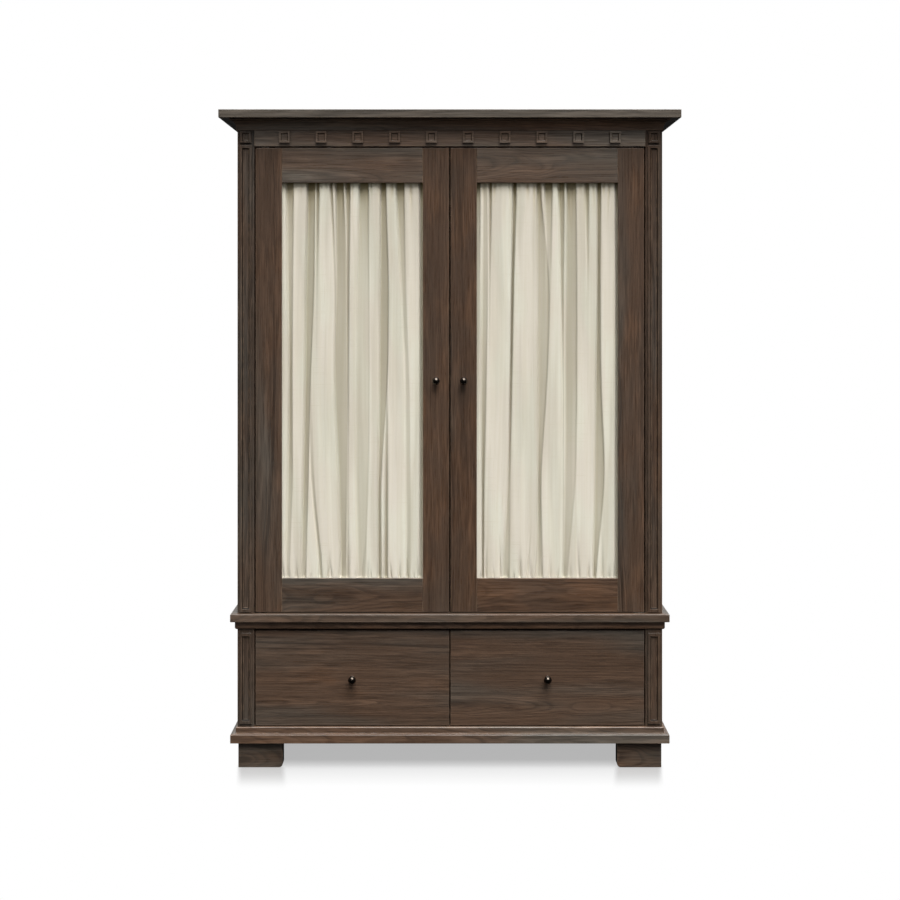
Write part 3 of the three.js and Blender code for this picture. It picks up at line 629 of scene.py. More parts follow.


def write_grain(mesh, name, members, carved):
    """Stores at each corner where it lies in its board's log ("grain"), its board's tone and warmth and
    whether it is on an eased edge ("board"), and how far it is end grain. members gives, for a face's middle,
    (number of the board, grain axis, thin axis, way of sawing, tone, warmth)."""
    spots = np.empty(len(mesh.vertices) * 3, np.float32)
    mesh.vertices.foreach_get("co", spots)
    spots = spots.reshape(-1, 3)
    grain = np.zeros((len(mesh.loops), 3), np.float32)
    board = np.zeros((len(mesh.loops), 3), np.float32)
    ends = np.zeros(len(mesh.loops), np.float32)
    low, high = spots.min(0), spots.max(0)
    middle = (low + high) / 2
    logs = {}
    for face in mesh.polygons:
        number, grain_axis, thin_axis, sawn, tone, warmth = members(face.center)
        if number not in logs:
            dice = random.Random(f"{name} {number}")
            (near, far), (shallow, deep) = HEARTS[sawn]
            logs[number] = (
                (1 if sawn == "slab" else dice.choice((-1, 1))) * dice.uniform(near, far),
                dice.choice((-1, 1)) * dice.uniform(shallow, deep),
                dice.uniform(-LOG_START, LOG_START),
                dice.uniform(*LOG_TONE),
                dice.uniform(*LOG_WARMTH),
            )
        across, behind, start, log_tone, log_warmth = logs[number]
        wide_axis = 3 - grain_axis - thin_axis
        x, y = face.center[:2]
        inside = y < low[Y] + CARVED_DEPTH and low[X] + CARVED_MARGIN < x < high[X] - CARVED_MARGIN
        # The walls of the carving take a darker tone: painted shade in the recesses.
        walled = carved and inside and abs(face.normal.y) < 0.8
        log_tone *= tone * (CARVING_WALL_SHADE if walled else 1)
        eased = 0 if walled else face.material_index
        origin = middle.copy()
        origin[grain_axis] = 0
        corners = list(face.loop_indices)
        at = spots[[mesh.loops[i].vertex_index for i in corners]] - origin
        grain[corners] = at[:, (wide_axis, thin_axis, grain_axis)] + (across, behind, start)
        board[corners] = (log_tone, log_warmth + warmth, eased)
        ends[corners] = eased_way(abs(face.normal[grain_axis]), *END_GRAIN)
    for label, values in (("grain", grain), ("board", board)):
        mesh.attributes.new(label, "FLOAT_VECTOR", "CORNER").data.foreach_set("vector", values.ravel())
    mesh.attributes.new("end_grain", "FLOAT", "CORNER").data.foreach_set("value", ends)
    whole(mesh)


def whole(mesh):
    """Gives every face of a mesh the first material."""
    mesh.polygons.foreach_set("material_index", np.zeros(len(mesh.polygons), np.int32))


def oak_piece(node, members, cuts=(), fine=False, slot="stained_oak", carved=False):
    """Puts an eased copy of a node's board in its place, with its grain. The walls of carved work are painted
    darker: painted shade.
    """
    boards = settings().boards
    mesh = softened(node, boards.fine_edge if fine else boards.edge, cuts)
    write_grain(mesh, node, members, carved)
    return new_piece(f"{node}_wood", mesh, slot, node)


def one_board(grain_axis, thin_axis, sawn="rift", tone=1.0, warmth=0.0):
    return lambda at: (0, grain_axis, thin_axis, sawn, tone, warmth)


def mitred(node, side_thin, tone, warmth, top=1.0):
    """A frame of one front board and two side boards, mitred at the front corners. The side boards are thin
    along side_thin, and top is how much lighter the frame's top faces are: painted light on the top."""
    member = 0.07
    worn = 0.002
    low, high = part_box(node)
    corner, front = high.x, low.y
    cuts = [(Vector((side * corner, front, 0)), Vector((side, 1, 0))) for side in (1, -1)]
    cuts += [(Vector((side * (corner - member), 0, 0)), AXES[X]) for side in (-1, 1)]

    def members(at):
        inward = corner - abs(at.x)
        # The top faces take the factor top: painted light on the top.
        here = tone * (top if at.z > high.z - worn else 1)
        if inward < min(at.y - front, member):
            return (1 if at.x < 0 else 2, Y, side_thin, "rift", here, warmth)
        return (0, X, Y, "plain", here, warmth)

    return members, cuts


def planked(node, count, grain_axis, across_axis, tone=1.0, warmth=0.0):
    """count boards glued side by side."""
    low, high = (corner[across_axis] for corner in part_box(node))
    step = (high - low) / count
    normal = AXES[across_axis]
    cuts = [(normal * (low + step * i), normal) for i in range(1, count)]
    thin_axis = 3 - grain_axis - across_axis

    def members(at):
        number = min(count - 1, max(0, int((at[across_axis] - low) / step)))
        return (number, grain_axis, thin_axis, ("plain", "rift")[number % 2], tone, warmth)

    return members, cuts


def lathed(outline, axis_point, toward, segments=40):
    """A turned solid. outline is (radius, distance) from one end of the axis to the other."""
    turn = Vector(toward).normalized().to_track_quat("Z", "Y").to_matrix().to_4x4()
    place = Matrix.Translation(axis_point) @ turn
    angles = [2 * math.pi * i / segments for i in range(segments)]
    shape = bmesh.new()
    rings = []
    for radius, reach in outline:
        if radius < 1e-7:
            ring = [(0, 0, reach)]
        else:
            ring = [(radius * math.cos(a), radius * math.sin(a), reach) for a in angles]
        rings.append([shape.verts.new(place @ Vector(spot)) for spot in ring])
    for a, b in zip(rings, rings[1:]):
        for i in range(segments):
            j = (i + 1) % segments
            corners = [a[i % len(a)], a[j % len(a)], b[j % len(b)], b[i % len(b)]]
            shape.faces.new(list(dict.fromkeys(corners)))
    if len(rings[0]) > 1 and len(rings[-1]) > 1 and outline[0] != outline[-1]:
        shape.faces.new(rings[0])
        shape.faces.new(rings[-1])
    bmesh.ops.remove_doubles(shape, verts=shape.verts, dist=1e-7)
    bmesh.ops.recalc_face_normals(shape, faces=shape.faces)
    for face in shape.faces:
        face.smooth = True
    mesh = mesh_of(shape, "turned")
    mesh.set_sharp_from_angle(angle=math.radians(50))
    return mesh


# ---------------------------------------------------------------- the case


class ARMOIRE_OT_case(bpy.types.Operator):
    """Finishes the posts, sides, backs, divider and shelf"""

    bl_idname = "armoire.case"
    bl_label = "Case Boards"

    def execute(self, context):
        for side in SIDES:
            for level in ("lower", "upper"):
                post = f"{level}_post_{side}"
                oak_piece(post, one_board(Z, Y, "rift", 0.83, -0.06), pad_cuts(post), fine=True, carved=True)
            oak_piece(f"lower_side_{side}", one_board(Y, X, "plain"), fine=True)
            oak_piece(f"side_frame_{side}", *self.framed(f"side_frame_{side}"), fine=True)
            oak_piece(f"side_panel_{side}", *planked(f"side_panel_{side}", 3, Z, Y))
        oak_piece("lower_back", *planked("lower_back", 2, X, Z))
        oak_piece("upper_back", *planked("upper_back", 8, Z, X))
        oak_piece("drawer_divider", one_board(Z, X, "plain"))
        oak_piece("hat_shelf", *planked("hat_shelf", 4, X, Y))
        return {"FINISHED"}

    @staticmethod
    def framed(node):
        """The rear stile of a side frame, and the rails under and over its panel."""
        stile, between = 0.046, 1.1
        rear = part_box(node)[1].y - stile

        def members(at):
            if at.y > rear:
                return (0, Z, X, "rift", 1.0, 0.0)
            return (2 if at.z > between else 1, Y, X, "rift", 1.0, 0.0)

        return members, [(AXES[Y] * rear, AXES[Y])]


class ARMOIRE_OT_mouldings(bpy.types.Operator):
    """Finishes the base, waist, frieze, cornice and top"""

    bl_idname = "armoire.mouldings"
    bl_label = "Mouldings"

    def execute(self, context):
        for node, side_thin, *finish in (
            # The last value, 1.5, lightens the base's top faces: painted light on the top.
            ("base_board", X, 1.15, -0.06, 1.5),
            ("waist_moulding", X, 1.04, -0.03),
            ("waist_board", Z, 1.15, -0.16),
            ("cornice_moulding", X, 1.5, -0.08),
        ):
            oak_piece(node, *mitred(node, side_thin, *finish))
        oak_piece("top_board", *planked("top_board", 4, X, Y, 1.3, -0.3))
        # The frieze's tone of 1.9 makes up for the cornice's shade on it: painted light.
        frieze = one_board(X, Y, "rift", 1.9, -0.16)
        oak_piece("frieze_rail", frieze, pad_cuts("frieze_rail"), fine=True, carved=True)
        return {"FINISHED"}


class ARMOIRE_OT_feet(bpy.types.Operator):
    """Finishes the mitred bracket feet"""

    bl_idname = "armoire.feet"
    bl_label = "Feet"

    def execute(self, context):
        for end in ("front", "rear"):
            for side in SIDES:
                self.foot(end, side)
        return {"FINISHED"}

    @staticmethod
    def foot(end, side):
        node = f"foot_{end}_{side}"
        low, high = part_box(node)
        corner = Vector((low.x if side == "left" else high.x, low.y if end == "front" else high.y, 0))
        slant = 1 if (side == "left") == (end == "front") else -1

        def members(at):
            across = abs(at.y - corner.y) < abs(at.x - corner.x)
            return (0, X, Y, "plain", 1.07, -0.02) if across else (1, Y, X, "plain", 1.07, -0.02)

        oak_piece(node, members, [(corner, Vector((1, -slant, 0)))])


class ARMOIRE_OT_doors(bpy.types.Operator):
    """Finishes the frames of the two doors"""

    bl_idname = "armoire.doors"
    bl_label = "Door Frames"

    def execute(self, context):
        for side in SIDES:
            for stile in ("hinge", "meeting"):
                board = one_board(Z, Y, "rift", 0.91, 0.01)
                oak_piece(f"{side}_door_{stile}_stile", board, bore_cuts(side, stile))
            for end, tone, warmth in (("bottom", 0.95, -0.02), ("top", 1.2, -0.16)):
                oak_piece(f"{side}_door_{end}_rail", one_board(X, Y, "plain", tone, warmth))
        return {"FINISHED"}


class ARMOIRE_OT_drawers(bpy.types.Operator):
    """Finishes the dovetailed drawers: stained fronts on boxes of plain oak"""

    bl_idname = "armoire.drawers"
    bl_label = "Drawers"

    def execute(self, context):
        for side in SIDES:
            drawer = f"{side}_drawer"
            oak_piece(f"{drawer}_front", one_board(X, Y, "slab", 0.98, -0.05), fine=True)
            for part, *board in (
                ("side_outer", Y, X),
                ("side_inner", Y, X),
                ("back", X, Y),
                ("bottom", X, Z, "plain"),
            ):
                oak_piece(f"{drawer}_{part}", one_board(*board), fine=True, slot="drawer_box_wood")
        return {"FINISHED"}


# ---------------------------------------------------------------- knobs and fittings

KNOB_REACH = 0.028  # from the face of the board to the tip of the ball
KNOB_PLATE = (  # radius and distance before the face of the board
    (0.0025, 0.0001),
    (0.0074, 0.0001),
    (0.008, 0.0006),
    (0.008, 0.0013),
    (0.0074, 0.0019),
    (0.006, 0.0022),
    (0.0051, 0.0031),
    (0.0046, 0.0044),
    (0.0045, 0.0054),
    (0.0049, 0.0064),
)
KNOB_NECK = 0.0052  # radius where the ball begins
KNOB_FLATTENED = 0.96  # depth of the ball as a share of its width
KNOB_STEPS = 16  # along the ball's outline


class ARMOIRE_OT_knobs(bpy.types.Operator):
    """Turns the four bronze knobs"""

    bl_idname = "armoire.knobs"
    bl_label = "Knobs"

    def execute(self, context):
        for side in SIDES:
            for part in ("door", "drawer"):
                self.knob(f"{side}_{part}_knob")
        return {"FINISHED"}

    @staticmethod
    def knob(node):
        low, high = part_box(node)
        ball = (high.x - low.x) / 2
        tip, stud_end = low.y, high.y
        face = tip + KNOB_REACH
        outline = [(0, stud_end), (0.002, stud_end), (0.0025, stud_end - 0.0006)]
        outline += [(radius, face - before) for radius, before in KNOB_PLATE]
        start = math.asin(KNOB_NECK / ball)
        centre = tip + ball * KNOB_FLATTENED
        for i in range(KNOB_STEPS):
            turn = start + (math.pi - start) * i / KNOB_STEPS
            outline.append((ball * math.sin(turn), centre + ball * KNOB_FLATTENED * math.cos(turn)))
        outline.append((0, tip))
        middle = middle_of(node)
        outline = [(radius, stud_end - y) for radius, y in outline]
        mesh = lathed(outline, Vector((middle.x, stud_end, middle.z)), (0, -1, 0))
        new_piece(f"{node}_turned", mesh, "dark_bronze", node)


def round_bar(node, axis, chamfer, wall=0.0):
    """A round bar or tube in a node's place, along an axis."""
    low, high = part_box(node)
    start = middle_of(node)
    start[axis] = low[axis]
    span = high[axis] - low[axis]
    radius = (high[(axis + 1) % 3] - low[(axis + 1) % 3]) / 2
    outline = [(radius - chamfer, 0), (radius, chamfer), (radius, span - chamfer), (radius - chamfer, span)]
    if wall:
        outline += [(radius - wall, span), (radius - wall, 0), outline[0]]
    else:
        outline = [(0, 0), *outline, (0, span)]
    return lathed(outline, start, AXES[axis], 36)


class ARMOIRE_OT_rods(bpy.types.Operator):
    """Makes the curtain rods and the hanging rail"""

    bl_idname = "armoire.rods"
    bl_label = "Rods and Rail"

    def execute(self, context):
        for side in SIDES:
            for end in ENDS:
                node = f"{side}_door_{end}_rod"
                new_piece(f"{node}_bar", round_bar(node, X, chamfer=0.0006), "dark_bronze", node)
        rail = round_bar("hanging_rail", X, chamfer=0.0003, wall=0.0015)
        new_piece("hanging_rail_tube", rail, "steel", "hanging_rail")
        return {"FINISHED"}


class ARMOIRE_OT_fittings(bpy.types.Operator):
    """Finishes the pivot hinges, the rail sockets and the door catch"""

    bl_idname = "armoire.fittings"
    bl_label = "Fittings"

    def execute(self, context):
        edge = 0.0004
        nodes = [f"pivot_{end}_{side}" for end in ENDS for side in SIDES]
        for node in [*nodes, "rail_socket_left", "rail_socket_right", "door_catch"]:
            mesh = softened(node, edge)
            whole(mesh)
            new_piece(f"{node}_metal", mesh, "steel" if "socket" in node else "dark_bronze", node)
        return {"FINISHED"}


def screw_head():
    """A countersunk head with its slot, at the origin, facing +Z."""
    outline = [(0, 0.0), (0.0022, 0.0), (0.0031, 0.0004), (0.0032, 0.0006), (0.0026, 0.00085), (0, 0.001)]
    head = linked("screw_head", lathed(outline, Vector((0, 0, 0)), (0, 0, 1), 20))
    slot = bmesh.new()
    size = Matrix.Diagonal((0.0075, 0.0007, 0.0009, 1))
    bmesh.ops.create_cube(slot, matrix=Matrix.Translation((0, 0, 0.001)) @ size)
    cutter = linked("slot", mesh_of(slot, "slot"))
    cut = head.modifiers.new("Slot", "BOOLEAN")
    cut.object, cut.operation = cutter, "DIFFERENCE"
    mesh = evaluated_copy(head)
    bpy.data.objects.remove(cutter)
    return mesh


def scattered(name, spots, facings, model, slot, body, make=None, spin=True):
    """Copies of a small model on the spots, each turned so that its Z follows its facing, as one piece. Its
    material is the slot's, or another one that make hands out."""
    model_object = linked(f"{name}_model", model)
    points = bpy.data.meshes.new(name)
    points.from_pydata([tuple(s) for s in spots], [], [])
    data = points.attributes.new("facing", "FLOAT_VECTOR", "POINT").data
    data.foreach_set("vector", np.array([tuple(f) for f in facings], np.float32).ravel())
    holder = linked(name, points)

    inputs = [("Geometry", "Geometry"), ("Model", "Object"), ("Spin", "Float"), ("Seed", "Int")]
    outputs = [("Geometry", "Geometry")]
    n, given, result = node_group(name, "GeometryNodeTree", [*inputs, ("Material", "Material")], outputs)
    facing = n.add("GeometryNodeInputNamedAttribute", {0: "facing"}, data_type="FLOAT_VECTOR")
    turned = n.add("FunctionNodeAlignRotationToVector", {"Vector": facing}, axis="Z")
    turn = {2: 0.0, 3: given["Spin"], 8: given["Seed"]}
    angle = n.add("FunctionNodeRandomValue", turn, 1, data_type="FLOAT")
    about = n.add("FunctionNodeAxisAngleToRotation", {"Axis": (0, 0, 1), "Angle": angle})
    turned = n.add("FunctionNodeRotateRotation", {0: turned, 1: about}, rotation_space="LOCAL")
    shape = n.add("GeometryNodeObjectInfo", {"Object": given["Model"]}, out="Geometry")
    spread = n.add("GeometryNodeMeshToPoints", {0: given["Geometry"]})
    copies = {"Points": spread, "Instance": shape, "Rotation": turned}
    placed = n.add("GeometryNodeInstanceOnPoints", copies)
    real = n.add("GeometryNodeRealizeInstances", {0: placed})
    n.fill(result, {0: n.add("GeometryNodeSetMaterial", {"Geometry": real, "Material": given["Material"]})})

    scatter = holder.modifiers.new(name, "NODES")
    sockets = {item.name: item.identifier for item in n.tree.interface.items_tree if item.in_out == "INPUT"}
    scatter.node_group = n.tree
    material = (make or SLOTS[slot])()
    values = {"Model": model_object, "Spin": math.tau if spin else 0.0, "Seed": 7, "Material": material}
    for label, value in values.items():
        scatter[sockets[label]] = value
    mesh = evaluated_copy(holder)
    bpy.data.objects.remove(model_object)
    piece = linked(name, mesh)
    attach(piece, body)
    return piece


class ARMOIRE_OT_screws(bpy.types.Operator):
    """Sets slotted screws in the plates of the rail sockets"""

    bl_idname = "armoire.screws"
    bl_label = "Screws"

    def execute(self, context):
        plate = 0.015  # from the end of a socket back to the face that the screws go into
        apart = 0.0175  # from the middle of a plate to its screws, across and up
        spots, facings = [], []
        for side, way in zip(SIDES, (1, -1)):
            low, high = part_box(f"rail_socket_{side}")
            middle = (low + high) / 2
            inner = (high.x if way > 0 else low.x) - way * plate
            for across in (-1, 1):
                for up in (-1, 1):
                    spots.append((inner, middle.y + across * apart, middle.z + up * apart))
                    facings.append((way, 0, 0))
        scattered("socket_screws", spots, facings, screw_head(), "steel", "case")
        return {"FINISHED"}


# ---------------------------------------------------------------- curtains

# The folds of each curtain. A fold is a band of cloth that lies back between two panels that stand forward.
# Each has its left and right edges as shares of the opening's width and how far back it lies (1 is as far
# as it goes), at five heights from the top of the opening to its bottom.
LEFT_FOLDS = (
    ((0.026, 0.033, 0.048, 0.036, 0.022), (0.077, 0.071, 0.068, 0.071, 0.045), (0.8, 0.65, 0.95, 0.65, 0.35)),
    ((0.179, 0.164, 0.158, 0.144, 0.128), (0.23, 0.225, 0.196, 0.182, 0.164), (1.0, 0.9, 0.9, 0.95, 0.6)),
    ((0.241, 0.236, 0.232, 0.23, 0.23), (0.262, 0.25, 0.245, 0.24, 0.24), (1.0, 0.15, 0.0, 0.0, 0.0)),
    ((0.335, 0.372, 0.375, 0.38, 0.38), (0.352, 0.384, 0.385, 0.39, 0.39), (0.7, 0.3, 0.0, 0.0, 0.0)),
    ((0.379, 0.382, 0.362, 0.4, 0.414), (0.429, 0.462, 0.462, 0.455, 0.449), (1.0, 0.75, 0.7, 0.75, 0.8)),
    ((0.449, 0.458, 0.462, 0.46, 0.46), (0.481, 0.474, 0.472, 0.47, 0.47), (1.0, 0.6, 0.3, 0.2, 0.2)),
    ((0.549, 0.525, 0.522, 0.525, 0.535), (0.608, 0.612, 0.615, 0.609, 0.583), (0.9, 0.45, 0.4, 0.4, 0.5)),
    ((0.699, 0.692, 0.688, 0.678, 0.682), (0.731, 0.753, 0.747, 0.696, 0.702), (1.0, 0.9, 0.9, 0.8, 0.8)),
    ((0.72, 0.73, 0.735, 0.728, 0.723), (0.73, 0.74, 0.747, 0.748, 0.746), (0.0, 0.0, 0.0, 0.8, 0.9)),
    ((0.804, 0.842, 0.874, 0.876, 0.885), (0.862, 0.871, 0.898, 0.906, 0.906), (0.95, 0.45, 0.35, 0.3, 0.35)),
    ((0.18, 0.18, 0.185, 0.2, 0.272), (0.2, 0.2, 0.205, 0.218, 0.29), (0.0, 0.0, 0.0, 0.35, 0.5)),
    ((0.975, 0.98, 0.98, 0.98, 0.975), (1.0, 1.0, 1.0, 1.0, 1.0), (0.9, 0.8, 0.7, 0.7, 0.6)),
)
RIGHT_FOLDS = (
    ((-0.01, -0.01, -0.01, -0.01, -0.01), (0.023, 0.02, 0.015, 0.01, 0.01), (0.8, 0.4, 0.2, 0.0, 0.0)),
    ((0.045, 0.035, 0.028, 0.036, 0.037), (0.067, 0.077, 0.065, 0.05, 0.05), (0.3, 0.55, 0.65, 0.85, 0.8)),
    ((0.088, 0.084, 0.08, 0.08, 0.08), (0.107, 0.094, 0.09, 0.09, 0.09), (0.9, 0.2, 0.0, 0.0, 0.0)),
    ((0.258, 0.246, 0.235, 0.224, 0.178), (0.282, 0.262, 0.25, 0.236, 0.228), (1.0, 1.0, 0.85, 0.4, 0.7)),
    ((0.425, 0.432, 0.435, 0.432, 0.43), (0.441, 0.519, 0.499, 0.449, 0.467), (0.8, 0.65, 0.7, 0.85, 0.5)),
    ((0.481, 0.5, 0.49, 0.49, 0.49), (0.536, 0.524, 0.5, 0.5, 0.5), (0.9, 0.2, 0.0, 0.0, 0.0)),
    ((0.58, 0.596, 0.61, 0.61, 0.61), (0.619, 0.616, 0.622, 0.62, 0.62), (0.9, 0.7, 0.3, 0.2, 0.2)),
    ((0.641, 0.632, 0.624, 0.629, 0.609), (0.702, 0.708, 0.708, 0.702, 0.635), (0.75, 0.7, 0.7, 0.4, 0.6)),
    ((0.772, 0.783, 0.79, 0.79, 0.79), (0.794, 0.793, 0.8, 0.8, 0.8), (0.8, 0.0, 0.0, 0.0, 0.0)),
    ((0.856, 0.857, 0.846, 0.839, 0.824), (0.88, 0.876, 0.878, 0.911, 0.84), (1.0, 1.0, 1.0, 0.75, 0.8)),
    ((0.985, 0.99, 0.99, 0.985, 0.985), (1.01, 1.01, 1.01, 1.01, 1.01), (0.8, 0.7, 0.6, 0.6, 0.6)),
)


def smooth_noise(x, y, seed):
    """Smooth values from -1 to 1 over the plane, with cells one unit wide."""
    size = 257
    table = np.random.RandomState(seed).uniform(-1, 1, (size, size))
    i, j = np.floor(x).astype(int), np.floor(y).astype(int)
    fx, fy = eased_way(x - i, 0, 1), eased_way(y - j, 0, 1)

    def between(up):
        near, far = (table[(i + a) % size, (j + up) % size] for a in (0, 1))
        return near * (1 - fx) + far * fx

    return between(0) * (1 - fy) + between(1) * fy


def bell(values, middle, width):
    """1 at the middle, and falling off to both sides."""
    off = (values - middle) / width
    return np.exp(-off * off)


class Curtain:
    """The shape of one gathered curtain. s is a share of the opening's width, and z a height."""

    dense = 1500  # points of a row before it is spaced evenly
    columns = 250
    keys = (0, 0.25, 0.5, 0.75, 1)  # the heights of the folds' values, from top to bottom
    front_gap, back_gap = 0.0009, 0.0158  # from the front of the cloth's room to its two planes
    rod_gap = 0.0007
    margin = 0.0006  # at the ends of the cloth's room
    spread = (-0.0275, 1.0275)  # of s: the cloth reaches past the opening, behind the stiles
    wrinkle, sway = 0.00055, 0.0011  # depth of the small and the broad waves

    def __init__(self, side):
        self.folds, self.sway_seed = (LEFT_FOLDS, 9) if side == "left" else (RIGHT_FOLDS, 11)
        self.low, self.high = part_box(f"{side}_door_curtain")
        rods = [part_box(f"{side}_door_{end}_rod") for end in ENDS]
        self.rod_z = [(a.z + b.z) / 2 for a, b in rods]
        self.rod_y = (rods[0][0].y + rods[0][1].y) / 2
        self.rod_radius = (rods[0][1].z - rods[0][0].z) / 2
        self.sight = (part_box(f"{side}_door_bottom_rail")[1].z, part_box(f"{side}_door_top_rail")[0].z)
        self.header = self.high.z - self.rod_z[1]
        stiles = [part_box(f"{side}_door_{stile}_stile") for stile in ("hinge", "meeting")]
        self.opening = sorted(corner.x for box in stiles for corner in box)[1:3]
        self.forward = self.low.y + self.front_gap
        self.backward = self.low.y + self.back_gap
        self.pinches = [*self.gathers(side)]

    @staticmethod
    def gathers(side):
        """The pinches at both rods: end, place, strength, length, width and slant of each."""
        dice = random.Random(f"gathers {side}")
        for end in (0, 1):
            at = -0.03
            while at < 1.03:
                reach = dice.uniform(0.018, 0.05) if dice.random() < 0.6 else dice.uniform(0.05, 0.11)
                slant = dice.uniform(-0.25, 0.25)
                strength = dice.uniform(0.45, 1.0)
                yield end, at, strength, reach, dice.uniform(0.0055, 0.0125), slant
                at += dice.uniform(0.028, 0.068)

    def forwardness(self, s, z):
        """1 where the cloth stands forward and 0 where it lies back, and three amounts of painted shade:
        where it lies back in a fold, in the creases of narrow folds, and in the gathers under the door's top
        rail."""
        down = (self.sight[1] - z) / (self.sight[1] - self.sight[0])
        stand, single, crease_shade = np.ones_like(s), np.zeros_like(s), np.zeros_like(s)
        under = max(self.sight[1] - z, 0)
        crowded = math.exp(-under / 0.05)
        # Painted shade in a thin band right under the door's top rail.
        deep = np.full_like(s, 0.5 * math.exp(-under / 0.006))
        for left, right, depth in self.folds:
            a, b, back = (self.keyed(down, values) for values in (left, right, depth))
            wide = b - a
            edge = min(0.012, 0.4 * wide + 0.002)  # where the cloth rolls back
            spring = min(0.009, 0.3 * wide + 0.002)  # where it comes forward again
            rolled = eased_way(s, a - edge, a + edge)
            sprung = 1 - eased_way(s, b - 0.003, b + spring)
            slope = (0.62 - 0.35 * crowded) * np.clip((s - a) / max(wide, 0.02), 0, 1)
            stand *= 1 - back * rolled * sprung * (1 - slope)
            # Painted shade: the cloth is darker where it lies back in a fold, more so near the top rail, with
            # a dark line inside narrow folds.
            lies_back = back * eased_way(s, a - 0.3 * edge, a + edge) * (1 - eased_way(s, b, b + spring))
            single = np.maximum(single, lies_back * (0.78 + 0.22 * crowded))
            shut = 0.9 * back * math.exp(-((wide / 0.024) ** 2))
            crease_shade = np.maximum(crease_shade, shut * bell(s, a + 0.45 * wide, 0.0046))
            crease_shade = np.maximum(crease_shade, 0.1 * crowded * lies_back)
            deep = np.maximum(deep, math.exp(-under / 0.03) * lies_back)
        for end, at, strength, reach, width, slant in self.pinches:
            away = abs(z - self.rod_z[end])
            if away > reach * 3:
                continue
            strength *= (0.7, 0.4)[end] * math.exp(-((away / reach) ** 2))
            pinched = strength * bell(s, at + slant * away, width)
            stand *= 1 - pinched
            # The gathers at the top rod add painted shade under the door's top rail.
            if end == 1:
                deep = np.maximum(deep, 1.4 * pinched)
        return stand, single, crease_shade, deep

    def keyed(self, down, values):
        """A value between its five heights, without corners."""
        spread = [np.interp(down + d, self.keys, values) for d in (-0.09, -0.045, 0, 0.045, 0.09)]
        return float(np.dot(spread, (0.1, 0.24, 0.32, 0.24, 0.1)))

    def row(self, z):
        """Dense s, x and y of the front leg at a height, how far it stands forward, and its fold values."""
        s = np.linspace(*self.spread, self.dense)
        stand, *fold = self.forwardness(s, z)
        away = min(abs(z - rod) for rod in self.rod_z)
        outside = max(self.rod_z[0] - z, z - self.rod_z[1])
        near = float(1 - eased_way(away, 0.004, 0.017))
        rod_front = self.rod_y - self.rod_radius - self.rod_gap
        back = self.backward + (rod_front - self.backward) * near
        y = back + (self.forward - back) * stand
        if outside > 0:  # the header, which closes toward the middle of the rod
            shut = 0.75 * float(eased_way(outside, 0.0035, self.header))
            y = y + shut * (self.rod_y - 0.0005 - y)
        calm = 1 - 0.8 * near  # the cloth is drawn tight over a rod
        wrinkles = self.wrinkle * smooth_noise(s * 26, np.full_like(s, z * 9), 5)
        sway = self.sway * smooth_noise(s * 7 + 40, np.full_like(s, z * 2.6), self.sway_seed)
        y = y + calm * (wrinkles + sway) * (0.35 + 0.65 * stand)
        x = self.opening[0] + s * (self.opening[1] - self.opening[0])
        return s, x, np.maximum(y, self.low.y + 0.0005), stand, *fold

    def heights(self):
        """Heights of the front leg, closer together near the rods."""
        dense, calm = 0.02, 0.08  # how far the densest and the dense rows reach from an end
        ends = np.concatenate([np.linspace(0, dense, 17)[:-1], np.linspace(dense, calm, 18)[:-1]])
        bottom, top = self.low.z + self.margin, self.high.z - self.margin
        middle = np.linspace(bottom + calm, top - calm, 92)
        return np.concatenate([bottom + ends, middle, (top - ends)[::-1]])

    def sampled(self, z):
        """The width of the cloth at a height, and x, y, forwardness and fold values at even steps."""
        key = round(float(z), 7)
        if key not in self.rows:
            s, x, y, *rest = self.row(z)
            way = np.concatenate([[0], np.cumsum(np.hypot(np.diff(x), np.diff(y)))])
            pick = np.interp(np.linspace(0, 1, self.columns), way / way[-1], s)
            self.rows[key] = (way[-1], *(np.interp(pick, s, values) for values in (x, y, *rest)))
        return self.rows[key]

    def back_leg(self, z, end):
        """The cloth behind a rod: clear of the rod at its height, and close to the front leg at the seam."""
        linen = settings().linen
        _, x, y, stand, *_ = self.sampled(z)
        clear = 0.0042  # above and under the middle of a rod, where the pocket is open
        off = (z - self.rod_z[end]) * (1 if end == 1 else -1)
        open_ = float(eased_way(off, -linen.seam, -clear) * (1 - eased_way(off, clear, self.header)))
        behind = self.rod_y + self.rod_radius + 0.0008 + 0.003 * (1 - stand)
        shut = y + linen.thickness * 1.25
        return np.stack([x, shut + (np.maximum(behind, shut) - shut) * open_, np.full_like(x, z)], 1)

    def surface(self):
        """Rows of points from the turned edge behind the bottom rod, round it, up the front, over the top
        rod and down behind it, with their fold values, and the rows of the two seams."""
        linen = settings().linen
        self.rows = {}
        points, folds, seams = [], [], {}
        reach = linen.seam + linen.hem
        round_rod = np.linspace(-self.header, linen.seam, 15)[:-1]
        offsets = np.concatenate([round_rod, np.linspace(linen.seam, reach, 4)])

        def pocket(end, way, offsets):
            """Adds the rows behind a rod, and finds the one of its seam."""
            for off in offsets:
                z = self.rod_z[end] + way * off
                if abs(off - linen.seam) < 1e-5:
                    seams[end] = len(points)
                z = min(max(z, self.low.z + self.margin), self.high.z - self.margin)
                points.append(self.back_leg(z, end))
                folds.append(np.zeros((3, self.columns)))

        pocket(0, 1, offsets[::-1])
        for z in self.heights():
            _, x, y, _, *fold = self.sampled(z)
            points.append(np.stack([x, y, np.full_like(x, z)], 1))
            folds.append(np.array(fold))
        pocket(1, -1, offsets)
        points = np.array(points)
        self.width = float(np.mean([row[0] for row in self.rows.values()]))
        steps = np.linalg.norm(np.diff(points, axis=0), axis=2).mean(1)
        self.along = np.concatenate([[0], np.cumsum(steps)])
        return points, np.array(folds).transpose(0, 2, 1), seams


